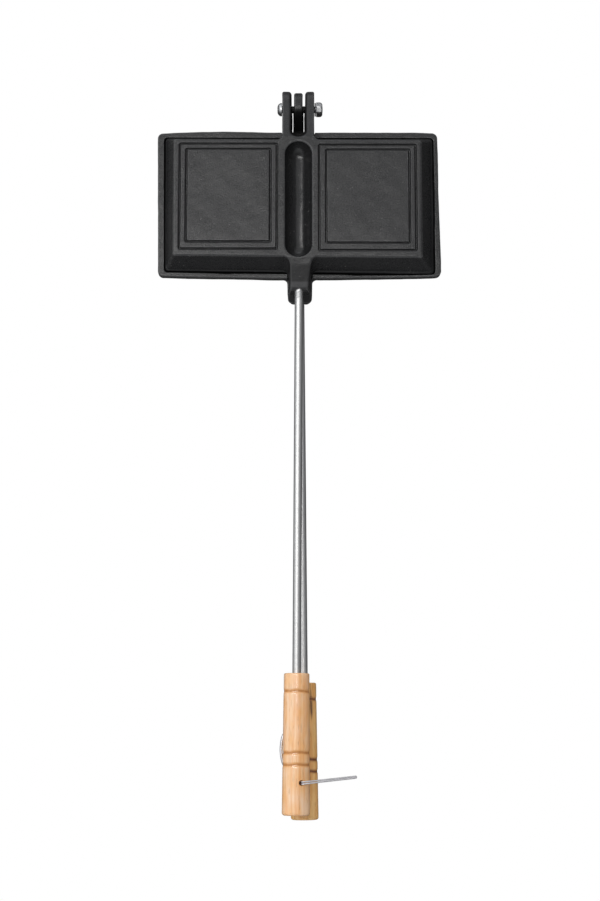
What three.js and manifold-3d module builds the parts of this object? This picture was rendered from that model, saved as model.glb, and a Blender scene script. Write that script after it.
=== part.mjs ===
// Double sandwich iron: two cast-iron halves with two pockets each, hinged on one
// through bolt, with a steel rod and a turned wooden grip on each half.
// Millimetres, +Z up. The iron lies flat on its lower half, hinge towards +Y.
//
// Inside the group "iron" the hinge bolt's axis is X at Y = 0, Z = 0 and the plane
// where the halves meet is Z = 0. The outer group moves that to the object's own
// origin, the middle of the underside of its bounding box.

import * as THREE from 'three';
import { mergeVertices } from 'three/addons/utils/BufferGeometryUtils.js';
import Module from 'manifold-3d';

const wasm = await Module();
wasm.setup();

// ---------------------------------------------------------------- dimensions
const ORIGIN = [-0.31, 292.85, 24.5];     // hinge frame to object frame

const FACE = 24.5;            // outer pocket faces, above and below the joint plane
const FLANGE = 4.0;           // thickness of both flanges
const LIP = 4.0;              // height of the lower half's lip above the joint plane
const SEAM = 0.3;             // gap where two pieces touch

// plan outlines, a little out of square as cast: corners near left, near right,
// far right, far left, each with its radius
const UP_FLANGE = [[-112.75, -143.2, 3.0], [115.1, -146.2, 3.0], [114.9, -27.3, 3.0], [-113.4, -26.8, 3.0]];
const FOOT = [[-112.45, -143.05, 2.5], [113.95, -145.05, 2.5], [113.75, -28.3, 2.5], [-113.15, -27.3, 2.5]];
const TOP = [[-105.3, -134.95, 2.0], [103.9, -136.9, 2.0], [103.95, -35.3, 2.0], [-105.35, -34.3, 2.0]];

// pockets
const MOUTH_IN = 4.6, MOUTH_OUT = 108.8, MOUTH_Y0 = -139.4, MOUTH_Y1 = -31.0, MOUTH_R = 7;
const FLOOR_IN = 17.2, FLOOR_OUT = 100.6, FLOOR_Y0 = -130.8, FLOOR_Y1 = -39.6, FLOOR_R = 6;
const WALL = 4.2;             // thickness of the pocket floors

// gutter along the spine
const GUTTER_W = 11.3, GUTTER_Y0 = -136.3, GUTTER_Y1 = -36.1, GUTTER_D = 13.5, GUTTER_X = 0.2;

// raised-panel grooves, outer then inner, left then right: x0, x1, y0, y1
const GROOVES = [
  [-99.9, -18.0, -129.45, -38.2],
  [-94.4, -23.45, -123.25, -42.7],
  [17.6, 99.25, -130.65, -39.25],
  [23.5, 93.85, -124.3, -43.4],
];
const GROOVE_W = 1.5, GROOVE_D = 0.9;

// hinge
const EAR_R = 15.2, EAR_OUT = 13.55, EAR_IN_TOP = 6.75, EAR_IN = 5.0, EAR_OPEN = 0.75, EAR_OUT_LOW = 13.7;
const SLOT_X = 0.05;           // middle of the slot and of the tongue
const TONGUE_R = 14.05, TONGUE_T = 3.7, LUG_T = 4.55;
const BOLT_R = 3.0, HOLE_R = 3.3;
const HEAD_X0 = -18.0, HEAD_X1 = -14.0, HEAD_R = 5.6;
const WASHER_X0 = 14.0, WASHER_X1 = 15.1, WASHER_R = 5.8;
const NUT_X0 = 15.4, NUT_X1 = 20.8, NUT_AF = 11.2;
const BOLT_END = 21.2;

// bosses, rods and grips
const BOSS_X = 1.4;
const UP_BOSS_END = -163.5, LOW_BOSS_END = -170.3, BOSS_TOP = 19.4;
const ROD_R = 3.5, ROD_Z = 13.1, SOCKET_R = 3.8, SOCKET_END = -139.0, ROD_START = -139.6;
// each rod: x where it leaves its boss at y = -160, and its lean in degrees
const UP_ROD = [0.55, -0.32], LOW_ROD = [1.65, 0.48];
const PIN_R = 1.5, PIN_Y = -145.6;
const GRIP_R0 = 10.4, GRIP_R1 = 11.4, GRIP_TAPER = 113.8;
const UP_GRIP_Y = -482.3, UP_GRIP_L = 113.8, LOW_GRIP_Y = -489.5, LOW_GRIP_L = 111.3;
const GRIP_BORE = 74, ROD_IN_GRIP = 72;
const UP_GROOVES = [14.5, 63.75, 73.4], LOW_GROOVES = [13.3, 62.45, 72.05];
const CROSS_HOLE = 87.7, CROSS_R = 2.1, CROSS_TILT = 23.5;

// latch loop: one wire bent double
const WIRE_R = 0.62, LOOP_REACH = 44.6, LOOP_SWING = 6;
const KEEPER_R = 1.2;

// ---------------------------------------------------------------- helpers
const rad = (d) => (d * Math.PI) / 180;

// closed triangle soup -> solid
function solid(geometry) {
  let g = geometry.index ? geometry.toNonIndexed() : geometry.clone();
  for (const a of Object.keys(g.attributes)) if (a !== 'position') g.deleteAttribute(a);
  g = mergeVertices(g, 1e-4);
  const v = g.attributes.position.array, t = g.index.array;
  const keep = [];
  for (let i = 0; i < t.length; i += 3) {
    if (t[i] !== t[i + 1] && t[i + 1] !== t[i + 2] && t[i] !== t[i + 2]) keep.push(t[i], t[i + 1], t[i + 2]);
  }
  return new wasm.Manifold(new wasm.Mesh({
    numProp: 3, vertProperties: new Float32Array(v), triVerts: new Uint32Array(keep),
  }));
}

// rings of the same number of 3D points, side walls between them, ends triangulated
// in the plane named by flat (the two coordinates used)
function loft(rings, flat = [0, 1]) {
  const n = rings[0].length, pos = [];
  const put = (p) => pos.push(p[0], p[1], p[2]);
  const flat2 = (r) => r.map((p) => new THREE.Vector2(p[flat[0]], p[flat[1]]));
  const ccw = THREE.ShapeUtils.area(flat2(rings[0])) > 0;
  const use = ccw ? rings : rings.map((r) => [...r].reverse());
  for (let k = 0; k + 1 < use.length; k++) {
    for (let i = 0; i < n; i++) {
      const j = (i + 1) % n, a = use[k][i], b = use[k][j], c = use[k + 1][j], d = use[k + 1][i];
      put(a); put(b); put(c); put(a); put(c); put(d);
    }
  }
  const first = use[0], last = use[use.length - 1];
  for (const f of THREE.ShapeUtils.triangulateShape(flat2(first), [])) { put(first[f[0]]); put(first[f[2]]); put(first[f[1]]); }
  for (const f of THREE.ShapeUtils.triangulateShape(flat2(last), [])) { put(last[f[0]]); put(last[f[1]]); put(last[f[2]]); }
  const g = new THREE.BufferGeometry();
  g.setAttribute('position', new THREE.Float32BufferAttribute(pos, 3));
  const s = solid(g);
  if (s.volume() > 0) return s;
  const q = [];
  for (let i = 0; i < pos.length; i += 9) q.push(pos[i], pos[i + 1], pos[i + 2], pos[i + 6], pos[i + 7], pos[i + 8], pos[i + 3], pos[i + 4], pos[i + 5]);
  const h = new THREE.BufferGeometry();
  h.setAttribute('position', new THREE.Float32BufferAttribute(q, 3));
  return solid(h);
}

const at = (pts, z) => pts.map((p) => [p[0], p[1], typeof z === 'function' ? z(p[0], p[1]) : z]);

// outline with each corner rounded: corners are [x, y, radius]
function rounded(corners, steps = 4) {
  const out = [], n = corners.length;
  for (let i = 0; i < n; i++) {
    const [px, py] = corners[(i + n - 1) % n], [x, y, r] = corners[i], [qx, qy] = corners[(i + 1) % n];
    if (!r) { out.push([x, y]); continue; }
    const a = new THREE.Vector2(px - x, py - y).normalize(), b = new THREE.Vector2(qx - x, qy - y).normalize();
    const half = Math.acos(THREE.MathUtils.clamp(a.dot(b), -1, 1)) / 2;
    const len = r / Math.tan(half);
    const mid = a.clone().add(b).normalize().multiplyScalar(r / Math.sin(half));
    const cx = x + mid.x, cy = y + mid.y;
    const s = Math.atan2(y + a.y * len - cy, x + a.x * len - cx), e = Math.atan2(y + b.y * len - cy, x + b.x * len - cx);
    let d = e - s;
    while (d > Math.PI) d -= 2 * Math.PI;
    while (d < -Math.PI) d += 2 * Math.PI;
    for (let k = 0; k <= steps; k++) out.push([cx + r * Math.cos(s + (d * k) / steps), cy + r * Math.sin(s + (d * k) / steps)]);
  }
  return out;
}

const quad = (corners, steps = 4) => rounded(corners, steps);
const rect = (q, steps = 4) => rounded([[q.x0, q.y0, q.r], [q.x1, q.y0, q.r], [q.x1, q.y1, q.r], [q.x0, q.y1, q.r]], steps);

const box = (x0, x1, y0, y1, z0, z1) => solid(new THREE.BoxGeometry(x1 - x0, y1 - y0, z1 - z0)
  .translate((x0 + x1) / 2, (y0 + y1) / 2, (z0 + z1) / 2));

const cylX = (r, x0, x1, y, z, n = 32) => solid(new THREE.CylinderGeometry(r, r, x1 - x0, n).rotateZ(-Math.PI / 2)
  .translate((x0 + x1) / 2, y, z));
const cylY = (r, y0, y1, x, z, n = 32) => solid(new THREE.CylinderGeometry(r, r, y1 - y0, n).translate(x, (y0 + y1) / 2, z));
const cylZ = (r, z0, z1, x, y, n = 24) => solid(new THREE.CylinderGeometry(r, r, z1 - z0, n).rotateX(Math.PI / 2)
  .translate(x, y, (z0 + z1) / 2));

const flip = (s) => s.mirror([0, 0, 1]);

// a YZ outline pushed along X
function slab(outline, x0, x1) {
  return loft([outline.map((p) => [x0, p[0], p[1]]), outline.map((p) => [x1, p[0], p[1]])], [1, 2]);
}

// hinge ear or tongue seen from the side: a disc with a stem that runs to the casting.
// top edge goes from the disc to (yt, zt), bottom edge to (yb, zb)
function earOutline(r, yt, zt, yb, zb, n = 30) {
  const tangent = (y, z, side) => {
    const d = Math.hypot(y, z), a = Math.atan2(z, y), b = Math.acos(r / d);
    return a + side * b;
  };
  const a0 = tangent(yb, zb, 1), a1 = tangent(yt, zt, -1);
  let s = a0, e = a1;
  while (e <= s) e += 2 * Math.PI;
  while (e - s > 2 * Math.PI) e -= 2 * Math.PI;
  const pts = [];
  for (let k = 0; k <= n; k++) { const a = s + ((e - s) * k) / n; pts.push([r * Math.cos(a), r * Math.sin(a)]); }
  pts.push([yt, zt], [yt, zb], [yb, zb]);
  return pts;
}

function finish(s, name, colour, roughness, metalness) {
  const m = s.getMesh();
  const pos = new Float32Array(m.numVert * 3);
  for (let i = 0; i < m.numVert; i++) for (let k = 0; k < 3; k++) pos[3 * i + k] = m.vertProperties[i * m.numProp + k];
  const g = new THREE.BufferGeometry();
  g.setAttribute('position', new THREE.BufferAttribute(pos, 3));
  g.setIndex([...m.triVerts]);
  g.computeVertexNormals();
  const mesh = new THREE.Mesh(g, new THREE.MeshStandardMaterial({ color: colour, roughness, metalness, flatShading: true }));
  mesh.name = name;
  return mesh;
}

// ---------------------------------------------------------------- shared casting shapes
// the raised double block over the joint plane, solid
function block(z0) {
  const foot = quad(FOOT), top = quad(TOP);
  const mix = (t) => foot.map((p, i) => [p[0] + (top[i][0] - p[0]) * t, p[1] + (top[i][1] - p[1]) * t]);
  return loft([at(mix(0), z0), at(mix(0.955), FACE - 0.9), at(mix(1.012), FACE)]);
}

// one pocket, to be cut away; side is -1 or 1
function pocket(side) {
  const m = (a, b) => (side > 0 ? [a, b] : [-b, -a]);
  const [mx0, mx1] = m(MOUTH_IN, MOUTH_OUT), [fx0, fx1] = m(FLOOR_IN, FLOOR_OUT);
  const mouth = rect({ x0: mx0, x1: mx1, y0: MOUTH_Y0, y1: MOUTH_Y1, r: MOUTH_R }, 4);
  const floor = rect({ x0: fx0, x1: fx1, y0: FLOOR_Y0, y1: FLOOR_Y1, r: FLOOR_R }, 4);
  const mix = (t) => mouth.map((p, i) => [p[0] + (floor[i][0] - p[0]) * t, p[1] + (floor[i][1] - p[1]) * t]);
  const top = FACE - WALL;
  return loft([at(mix(-0.05), -0.05 * top), at(mix(0.93), top - 1.6), at(mix(0.99), top)]);
}

// half-round gutter with round ends
function gutter() {
  const rings = [], n = 7, y0 = GUTTER_Y0 + GUTTER_W, y1 = GUTTER_Y1 - GUTTER_W;
  for (let k = 0; k <= n; k++) {
    const a = (Math.PI / 2) * (k / n), w = Math.max(GUTTER_W * Math.cos(a), 0.8);
    const z = FACE - GUTTER_D * Math.sin(a), ring = [];
    for (let i = 0; i <= 8; i++) { const b = Math.PI * (i / 8); ring.push([GUTTER_X + w * Math.cos(b), y1 + w * Math.sin(b)]); }
    for (let i = 0; i <= 8; i++) { const b = Math.PI * (1 + i / 8); ring.push([GUTTER_X + w * Math.cos(b), y0 + w * Math.sin(b)]); }
    rings.unshift(at(ring, z));
    if (k === 0) rings.push(at(ring.map((p) => [GUTTER_X + (p[0] - GUTTER_X) * 1.06, p[1]]), FACE + 2));
  }
  return loft(rings);
}

// the four frame grooves, to be cut away
function grooves() {
  const w = GROOVE_W / 2;
  return GROOVES.map(([x0, x1, y0, y1]) => {
    const out = (d, z) => at(rect({ x0: x0 - d, x1: x1 + d, y0: y0 - d, y1: y1 + d, r: 1 + Math.max(d, -0.6) }, 2), z);
    const a = loft([out(w * 0.35, FACE - GROOVE_D), out(w * 1.3, FACE + 0.3)]);
    const b = loft([out(-w * 0.35, FACE - GROOVE_D - 1), out(-w * 0.35, FACE - GROOVE_D), out(-w * 1.3, FACE + 0.4)]);
    return a.subtract(b);
  }).reduce((a, b) => a.add(b));
}

// a boss with flared root; end is its far Y, low and top its half widths on the left and
// the right at the root and at the end, in the joint plane and at the face
function boss(end, low, top, topEnd) {
  const root = -130.0, flareStart = -135.6, flareEnd = -141.4;
  const outline = ([l0, l1, r0, r1], e, flare, chamfer) => {
    const side = (s, h, hEnd) => {
      const p = [[BOSS_X + s * (h + flare), root], [BOSS_X + s * (h + flare), flareStart]];
      for (let k = 1; k <= 5; k++) {
        const a = (Math.PI / 2) * (k / 5);
        p.push([BOSS_X + s * (h + flare * (1 - Math.sin(a))), flareStart + (flareEnd - flareStart) * (1 - Math.cos(a))]);
      }
      p.push([BOSS_X + s * hEnd, e + chamfer], [BOSS_X + s * (hEnd - chamfer), e]);
      return p;
    };
    return [...side(-1, l0, l1), ...side(1, r0, r1).reverse()];
  };
  // the top is two planes, so the boss is built as a tall draft and cut by its sloping top
  const tall = loft([at(outline(low, end, 7.5, 2.2), 0), at(outline(top, end + 3.2, 4.6, 1.6), FACE)]);
  const cut = loft([
    [[-40, -136.5, FACE], [40, -136.5, FACE], [40, -136.5, FACE + 30], [-40, -136.5, FACE + 30]],
    [[-40, topEnd, BOSS_TOP], [40, topEnd, BOSS_TOP], [40, topEnd, BOSS_TOP + 30], [-40, topEnd, BOSS_TOP + 30]],
    [[-40, end - 2, BOSS_TOP - 5.4], [40, end - 2, BOSS_TOP - 5.4], [40, end - 2, BOSS_TOP + 30], [-40, end - 2, BOSS_TOP + 30]],
  ], [0, 2]);
  return tall.subtract(cut);
}

const pocketCut = pocket(-1).add(pocket(1));
const outerCut = gutter().add(grooves());

// rod axis: a positive lean swings the far end towards +X
const rodX = ([x, lean], y) => x + Math.tan(rad(lean)) * (-160 - y);

// cylinder along a leaning rod axis between two Y values
function rodCyl(r, y0, y1, axis, z, n = 28) {
  const len = y1 - y0, ym = (y0 + y1) / 2;
  return solid(new THREE.CylinderGeometry(r, r, len, n).rotateZ(rad(axis[1])).translate(rodX(axis, ym), ym, z));
}

// ---------------------------------------------------------------- upper casting
function upperCasting() {
  const flange = loft([at(quad(UP_FLANGE), SEAM), at(quad(UP_FLANGE), FLANGE)]);
  let s = flange.add(block(FLANGE - 1.0));

  // spine carried on to the hinge, flared where it leaves the block
  const flareSteps = 5, spine = [], low = [];
  for (const sx of [-1, 1]) {
    const half = [];
    for (let k = 0; k <= flareSteps; k++) {
      const a = (Math.PI / 2) * (k / flareSteps);
      half.push([sx * (EAR_OUT + 4.4 * (1 - Math.sin(a))), -35.2 + 5.8 * (1 - Math.cos(a))]);
    }
    if (sx < 0) spine.push([-EAR_OUT - 4.4, -41], ...half); else spine.push(...half.reverse(), [EAR_OUT + 4.4, -41]);
  }
  for (const p of spine) {
    const sx = Math.sign(p[0]), w = Math.min(Math.abs(p[0]), EAR_OUT + 0.8);
    low.push([sx * w, p[1] + (p[1] > -37 ? 7.0 : 0)]);
  }
  const root = loft([at(low, SEAM), at(spine, FACE)]);
  s = s.add(root);

  // ears
  const ear = slab(earOutline(EAR_R, -32.0, FACE, -20.5, SEAM + 0.2), -EAR_OUT_LOW - 1, EAR_OUT_LOW + 1);
  const shell = loft([
    at([[-EAR_OUT_LOW - 0.05, -60], [EAR_OUT_LOW + 0.05, -60], [EAR_OUT_LOW + 0.05, 30], [-EAR_OUT_LOW - 0.05, 30]], -16),
    at([[-EAR_OUT_LOW, -60], [EAR_OUT_LOW, -60], [EAR_OUT_LOW, 30], [-EAR_OUT_LOW, 30]], 3),
    at([[-EAR_OUT + 0.1, -60], [EAR_OUT - 0.1, -60], [EAR_OUT - 0.1, 30], [-EAR_OUT + 0.1, 30]], FACE + 1),
  ]);
  s = s.add(ear.intersect(shell));

  // slot between the ears, a little wider at its open end, closed by a round end on a sloping wall
  const slot = (w, end, z) => {
    const ring = [[SLOT_X + w + EAR_OPEN, 30], [SLOT_X + w + EAR_OPEN, 3], [SLOT_X + w, -4]];
    for (let k = 0; k <= 8; k++) { const a = Math.PI * (k / 8); ring.push([SLOT_X + w * Math.cos(a), end + w - w * Math.sin(a)]); }
    ring.push([SLOT_X - w, -4], [SLOT_X - w - EAR_OPEN, 3], [SLOT_X - w - EAR_OPEN, 30]);
    return at(ring, z);
  };
  s = s.subtract(loft([slot(EAR_IN, -24.5, -17), slot(EAR_IN, -24.5, 1.5), slot(EAR_IN + 0.45, -26.6, 12), slot(EAR_IN_TOP + 0.2, -32.2, FACE + 2)]));

  s = s.add(boss(UP_BOSS_END, [10.0, 10.0, 10.0, 10.0], [8.5, 7.4, 9.5, 5.6], -156.5));
  s = s.subtract(box(-60, 60, -200, 60, -40, SEAM).subtract(box(-20, 20, -22.0, 30, -40, SEAM)));
  s = s.subtract(pocketCut).subtract(outerCut);
  s = s.subtract(cylX(HOLE_R, -30, 30, 0, 0));
  s = s.subtract(rodCyl(SOCKET_R, -175, SOCKET_END, UP_ROD, ROD_Z));
  s = s.subtract(cylZ(PIN_R + SEAM, -1, 18.6, rodX(UP_ROD, PIN_Y), PIN_Y, 20));
  return s;
}

// ---------------------------------------------------------------- lower casting
// outline of the flange with its lip, slightly out of square as cast
function lowerOutline(inset) {
  const r = 4.6 - inset * 0.5;
  const near = [[-95, -148.65], [-68, -149.25], [-41, -149.55], [-20, -149.95], [20, -149.95], [47, -149.7], [75, -149.4], [102, -148.8]];
  const far = [[100, -21.65], [61, -21.45], [20, -21.4], [-21, -21.45], [-41, -20.95], [-65, -20.7], [-83, -20.95], [-103, -21.6]];
  return rounded([[-119.0 + inset, -147.95 + inset, r], ...near.map((p) => [p[0], p[1] + inset, 0]), [121.25 - inset, -148.1 + inset, r],
    [119.0 - inset, -22.3 - inset, r], ...far.map((p) => [p[0], p[1] - inset, 0]), [-120.6 + inset, -22.3 - inset, r]], 5);
}

function lowerCasting() {
  const outer = lowerOutline(0);
  const soft = lowerOutline(0.9);
  let s = loft([at(soft, -FLANGE), at(outer, -FLANGE + 0.9), at(outer, LIP - 0.9), at(soft, LIP)]);

  // recess for the upper flange
  const recess = rounded([
    [-113.9, -144.75, 3.2], [-60, -145.65, 0], [0, -146.35, 0], [60, -147.15, 0], [95, -147.1, 0],
    [116.3, -146.75, 3.2], [115.95, -26.55, 3.2], [-115.1, -26.1, 3.2],
  ], 4);
  s = s.subtract(loft([at(recess, 0), at(recess, 20)]));
  s = s.add(flip(block(FLANGE - 1.0)));

  // openings in the lip for the ears and for the upper boss
  const notch = (x0, x1, y0, y1, spread) => loft([
    at([[x0, y0], [x1, y0], [x1, y1], [x0, y1]], 0),
    at([[x0 - spread, y0], [x1 + spread, y0], [x1 + spread, y1], [x0 - spread, y1]], LIP + 2),
  ]);
  s = s.subtract(notch(-14.7, 14.7, -30, 0, 0.3));
  s = s.subtract(notch(BOSS_X - 10.4, BOSS_X + 10.4, -175, -138, 0.3));

  // root of the hinge lug, flared into the block
  const root = [[-17.9, -40], [17.9, -40]], low = [];
  const curve = [];
  for (let k = 0; k <= 5; k++) {
    const a = (Math.PI / 2) * (k / 5);
    curve.push([LUG_T + 3.4 + 9.0 * (1 - Math.sin(a)), -35.2 + 7.4 * (1 - Math.cos(a))]);
  }
  root.push(...curve, ...curve.map((p) => [-p[0], p[1]]).reverse());
  for (const p of root) low.push([p[0], p[1] + (p[1] > -36 ? 6.2 : 0)]);
  s = s.add(flip(loft([at(low, 0.0), at(root.map((p) => [p[0] * 0.9, p[1]]), FACE)])));

  // tongue, on a thicker lug that fills the slot of the upper half
  const tongue = slab(earOutline(TONGUE_R, -34.0, FACE, -19.6, 0.0), SLOT_X - TONGUE_T, SLOT_X + TONGUE_T);
  const lug = slab([[-38, 0.0], [-16.0, 0.0], [-12.6, 3.0], [-6.0, 7.0], [1.5, 8.6], [-1.0, 13.2], [-38, FACE]], SLOT_X - LUG_T, SLOT_X + LUG_T);
  s = s.add(flip(tongue.add(lug)));

  // the boss falls away on its joint side too, where it reaches past the upper one
  s = s.add(flip(boss(LOW_BOSS_END, [10.7, 10.7, 10.7, 10.7], [9.0, 7.4, 9.0, 7.4], -161)));
  s = s.subtract(slab([[-162, 0.01], [-172, -4.6], [-172, 2], [-162, 2]], -30, 30));
  s = s.subtract(flip(pocketCut)).subtract(flip(outerCut));
  s = s.subtract(cylX(HOLE_R, -30, 30, 0, 0));
  s = s.subtract(rodCyl(SOCKET_R, -175, SOCKET_END, LOW_ROD, -ROD_Z));
  s = s.subtract(cylZ(PIN_R + SEAM, -18.6, 1, rodX(LOW_ROD, PIN_Y), PIN_Y, 20));
  return s;
}

// ---------------------------------------------------------------- hinge bolt, washer, nut
function hingeBolt() {
  const p = [[0, HEAD_X0]];
  for (let k = 0; k <= 6; k++) {
    const a = (Math.PI / 2) * (k / 6);
    p.push([1.6 + (HEAD_R - 1.6) * Math.sin(a), HEAD_X1 - 0.6 - (HEAD_X1 - 0.6 - HEAD_X0) * Math.cos(a)]);
  }
  p.push([HEAD_R, HEAD_X1], [BOLT_R, HEAD_X1], [BOLT_R, BOLT_END - 0.6], [BOLT_R - 0.6, BOLT_END], [0, BOLT_END]);
  let s = solid(new THREE.LatheGeometry(p.map((q) => new THREE.Vector2(q[0], q[1])), 32).rotateZ(-Math.PI / 2));
  if (s.volume() < 0) throw new Error('bolt inside out');
  // cross recess
  const arm = (w, l) => box(HEAD_X0 - 1, HEAD_X0 + 1.5, -l, l, -w, w);
  return s.subtract(arm(0.55, 2.6)).subtract(arm(2.6, 0.55));
}

function hingeWasher() {
  return cylX(WASHER_R, WASHER_X0, WASHER_X1, 0, 0).subtract(cylX(HOLE_R, 0, 30, 0, 0));
}

function hingeNut() {
  const hex = solid(new THREE.CylinderGeometry(NUT_AF / Math.sqrt(3), NUT_AF / Math.sqrt(3), NUT_X1 - NUT_X0, 6)
    .rotateY(rad(21)).rotateZ(-Math.PI / 2).translate((NUT_X0 + NUT_X1) / 2, 0, 0));
  const r = NUT_AF / Math.sqrt(3), f = NUT_AF / 2, w = NUT_X1 - NUT_X0;
  const q = [[0, -0.1], [f + 0.1, -0.1], [r + 0.1, 0.75], [r + 0.1, w - 0.75], [f + 0.1, w + 0.1], [0, w + 0.1]];
  const turned = solid(new THREE.LatheGeometry(q.map((a) => new THREE.Vector2(a[0], a[1])), 32)
    .rotateZ(-Math.PI / 2).translate(NUT_X0, 0, 0));
  return hex.intersect(turned).subtract(cylX(HOLE_R, 0, 40, 0, 0));
}

// ---------------------------------------------------------------- rods and their pins
function rod(axis, z, gripY) {
  const y0 = gripY - ROD_IN_GRIP;
  const s = rodCyl(ROD_R, y0, ROD_START, axis, z);
  return s.subtract(cylZ(PIN_R + SEAM, z - 9, z + 9, rodX(axis, PIN_Y), PIN_Y, 20));
}

// the pins are driven in from the joint side
const rodPin = (axis, z0, z1) => cylZ(PIN_R, z0, z1, rodX(axis, PIN_Y), PIN_Y, 20);

// ---------------------------------------------------------------- grips
// turned about Y, from y = 0 down to y = -length, then placed on the rod's axis
function gripBody(length, grooveAt) {
  const r = (d) => Math.min(GRIP_R0 + ((GRIP_R1 - GRIP_R0) * d) / GRIP_TAPER, GRIP_R1);
  const p = [[SOCKET_R, 0], [r(0) - 1.5, 0], [r(0) - 0.45, 0.45], [r(1.5), 1.5]];
  for (const g of grooveAt) {
    p.push([r(g - 1.3), g - 1.3], [r(g) - 0.85, g - 0.5], [r(g) - 0.85, g + 0.5], [r(g + 1.3), g + 1.3]);
  }
  p.push([r(length - 2), length - 2.0], [r(length) - 0.6, length - 0.6], [r(length) - 2.0, length], [0, length], [0, GRIP_BORE], [SOCKET_R, GRIP_BORE]);
  const pts = p.map((q) => new THREE.Vector2(q[0], -q[1]));
  pts.push(pts[0].clone());
  let g = new THREE.LatheGeometry(pts, 40);
  let s = solid(g);
  if (s.volume() < 0) {
    pts.reverse();
    s = solid(new THREE.LatheGeometry(pts, 40));
  }
  return s;
}

const crossHole = () => solid(new THREE.CylinderGeometry(CROSS_R, CROSS_R, 40, 20).rotateX(Math.PI / 2)
  .rotateY(rad(CROSS_TILT)).translate(0, -CROSS_HOLE, 0));

// keeper: bent wire standing on the lower grip's left side, both ends in blind holes
const KEEP_Y0 = -41.6, KEEP_Y1 = -67.6;

// round wire through a chain of points, closed by a flat end at both ends
function wire(points, r, sides) {
  const P = points.map((p) => new THREE.Vector3(...p)), n = P.length, pos = [];
  const dir = (i) => {
    const d = new THREE.Vector3();
    if (i > 0) d.add(P[i].clone().sub(P[i - 1]).normalize());
    if (i < n - 1) d.add(P[i + 1].clone().sub(P[i]).normalize());
    return d.normalize();
  };
  let t = dir(0), u = new THREE.Vector3(1, 0, 0);
  if (Math.abs(t.x) > 0.9) u.set(0, 0, 1);
  u.sub(t.clone().multiplyScalar(u.dot(t))).normalize();
  const rings = [];
  for (let i = 0; i < n; i++) {
    const s = dir(i);
    u.applyQuaternion(new THREE.Quaternion().setFromUnitVectors(t, s));
    u.sub(s.clone().multiplyScalar(u.dot(s))).normalize();
    t = s;
    const w = t.clone().cross(u);
    rings.push([...Array(sides).keys()].map((k) => {
      const a = (2 * Math.PI * k) / sides;
      return P[i].clone().addScaledVector(u, r * Math.cos(a)).addScaledVector(w, r * Math.sin(a));
    }));
  }
  const put = (...q) => q.forEach((v) => pos.push(v.x, v.y, v.z));
  for (let i = 0; i + 1 < n; i++) {
    for (let k = 0; k < sides; k++) {
      const j = (k + 1) % sides, a = rings[i][k], b = rings[i][j], c = rings[i + 1][j], d = rings[i + 1][k];
      put(a, b, c, a, c, d);
    }
  }
  for (let k = 0; k < sides; k++) {
    const j = (k + 1) % sides;
    put(P[0], rings[0][j], rings[0][k]);
    put(P[n - 1], rings[n - 1][k], rings[n - 1][j]);
  }
  const g = new THREE.BufferGeometry();
  g.setAttribute('position', new THREE.Float32BufferAttribute(pos, 3));
  const s = solid(g);
  if (s.volume() <= 0) throw new Error('wire inside out');
  return s;
}

// points of a chain with its corners rounded: each entry is [x, y, z, radius]
function bends(chain, steps = 5) {
  const out = [], V = (p) => new THREE.Vector3(p[0], p[1], p[2]);
  chain.forEach((p, i) => {
    if (!p[3] || !i || i === chain.length - 1) { out.push([p[0], p[1], p[2]]); return; }
    const c = V(p), a = V(chain[i - 1]).sub(c).normalize(), b = V(chain[i + 1]).sub(c).normalize();
    const half = Math.acos(THREE.MathUtils.clamp(a.dot(b), -1, 1)) / 2, len = p[3] / Math.tan(half);
    const s = c.clone().addScaledVector(a, len), e = c.clone().addScaledVector(b, len);
    const m = c.clone().add(a.clone().add(b).normalize().multiplyScalar(p[3] / Math.sin(half)));
    const vs = s.clone().sub(m), ve = e.clone().sub(m), w = vs.angleTo(ve);
    for (let k = 0; k <= steps; k++) {
      const q = m.clone().addScaledVector(vs, Math.sin((1 - k / steps) * w) / Math.sin(w)).addScaledVector(ve, Math.sin((k / steps) * w) / Math.sin(w));
      out.push([q.x, q.y, q.z]);
    }
  });
  return out;
}

function keeperWire() {
  const c = new THREE.CatmullRomCurve3([[-15.0, KEEP_Y0 - 0.2], [-16.6, KEEP_Y0 - 1.5], [-18.2, KEEP_Y0 - 6.0], [-19.0, (KEEP_Y0 + KEEP_Y1) / 2],
    [-18.2, KEEP_Y1 + 6.0], [-16.6, KEEP_Y1 + 1.5], [-15.0, KEEP_Y1 + 0.2]].map((p) => new THREE.Vector3(p[0], p[1], 0)), false, 'centripetal');
  const bow = c.getSpacedPoints(26).map((p) => [p.x, p.y, p.z]);
  return wire([[-6.2, KEEP_Y0, 0], [-13.0, KEEP_Y0, 0], [-14.2, KEEP_Y0 - 0.1, 0], ...bow, [-14.2, KEEP_Y1 + 0.1, 0], [-13.0, KEEP_Y1, 0], [-6.2, KEEP_Y1, 0]], KEEPER_R, 10);
}

const keeperHoles = () => [KEEP_Y0, KEEP_Y1].map((y) => solid(new THREE.CylinderGeometry(KEEPER_R + 0.3, KEEPER_R + 0.3, 12, 16)
  .rotateZ(Math.PI / 2).translate(-11.8, y, 0))).reduce((a, b) => a.add(b));

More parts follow.
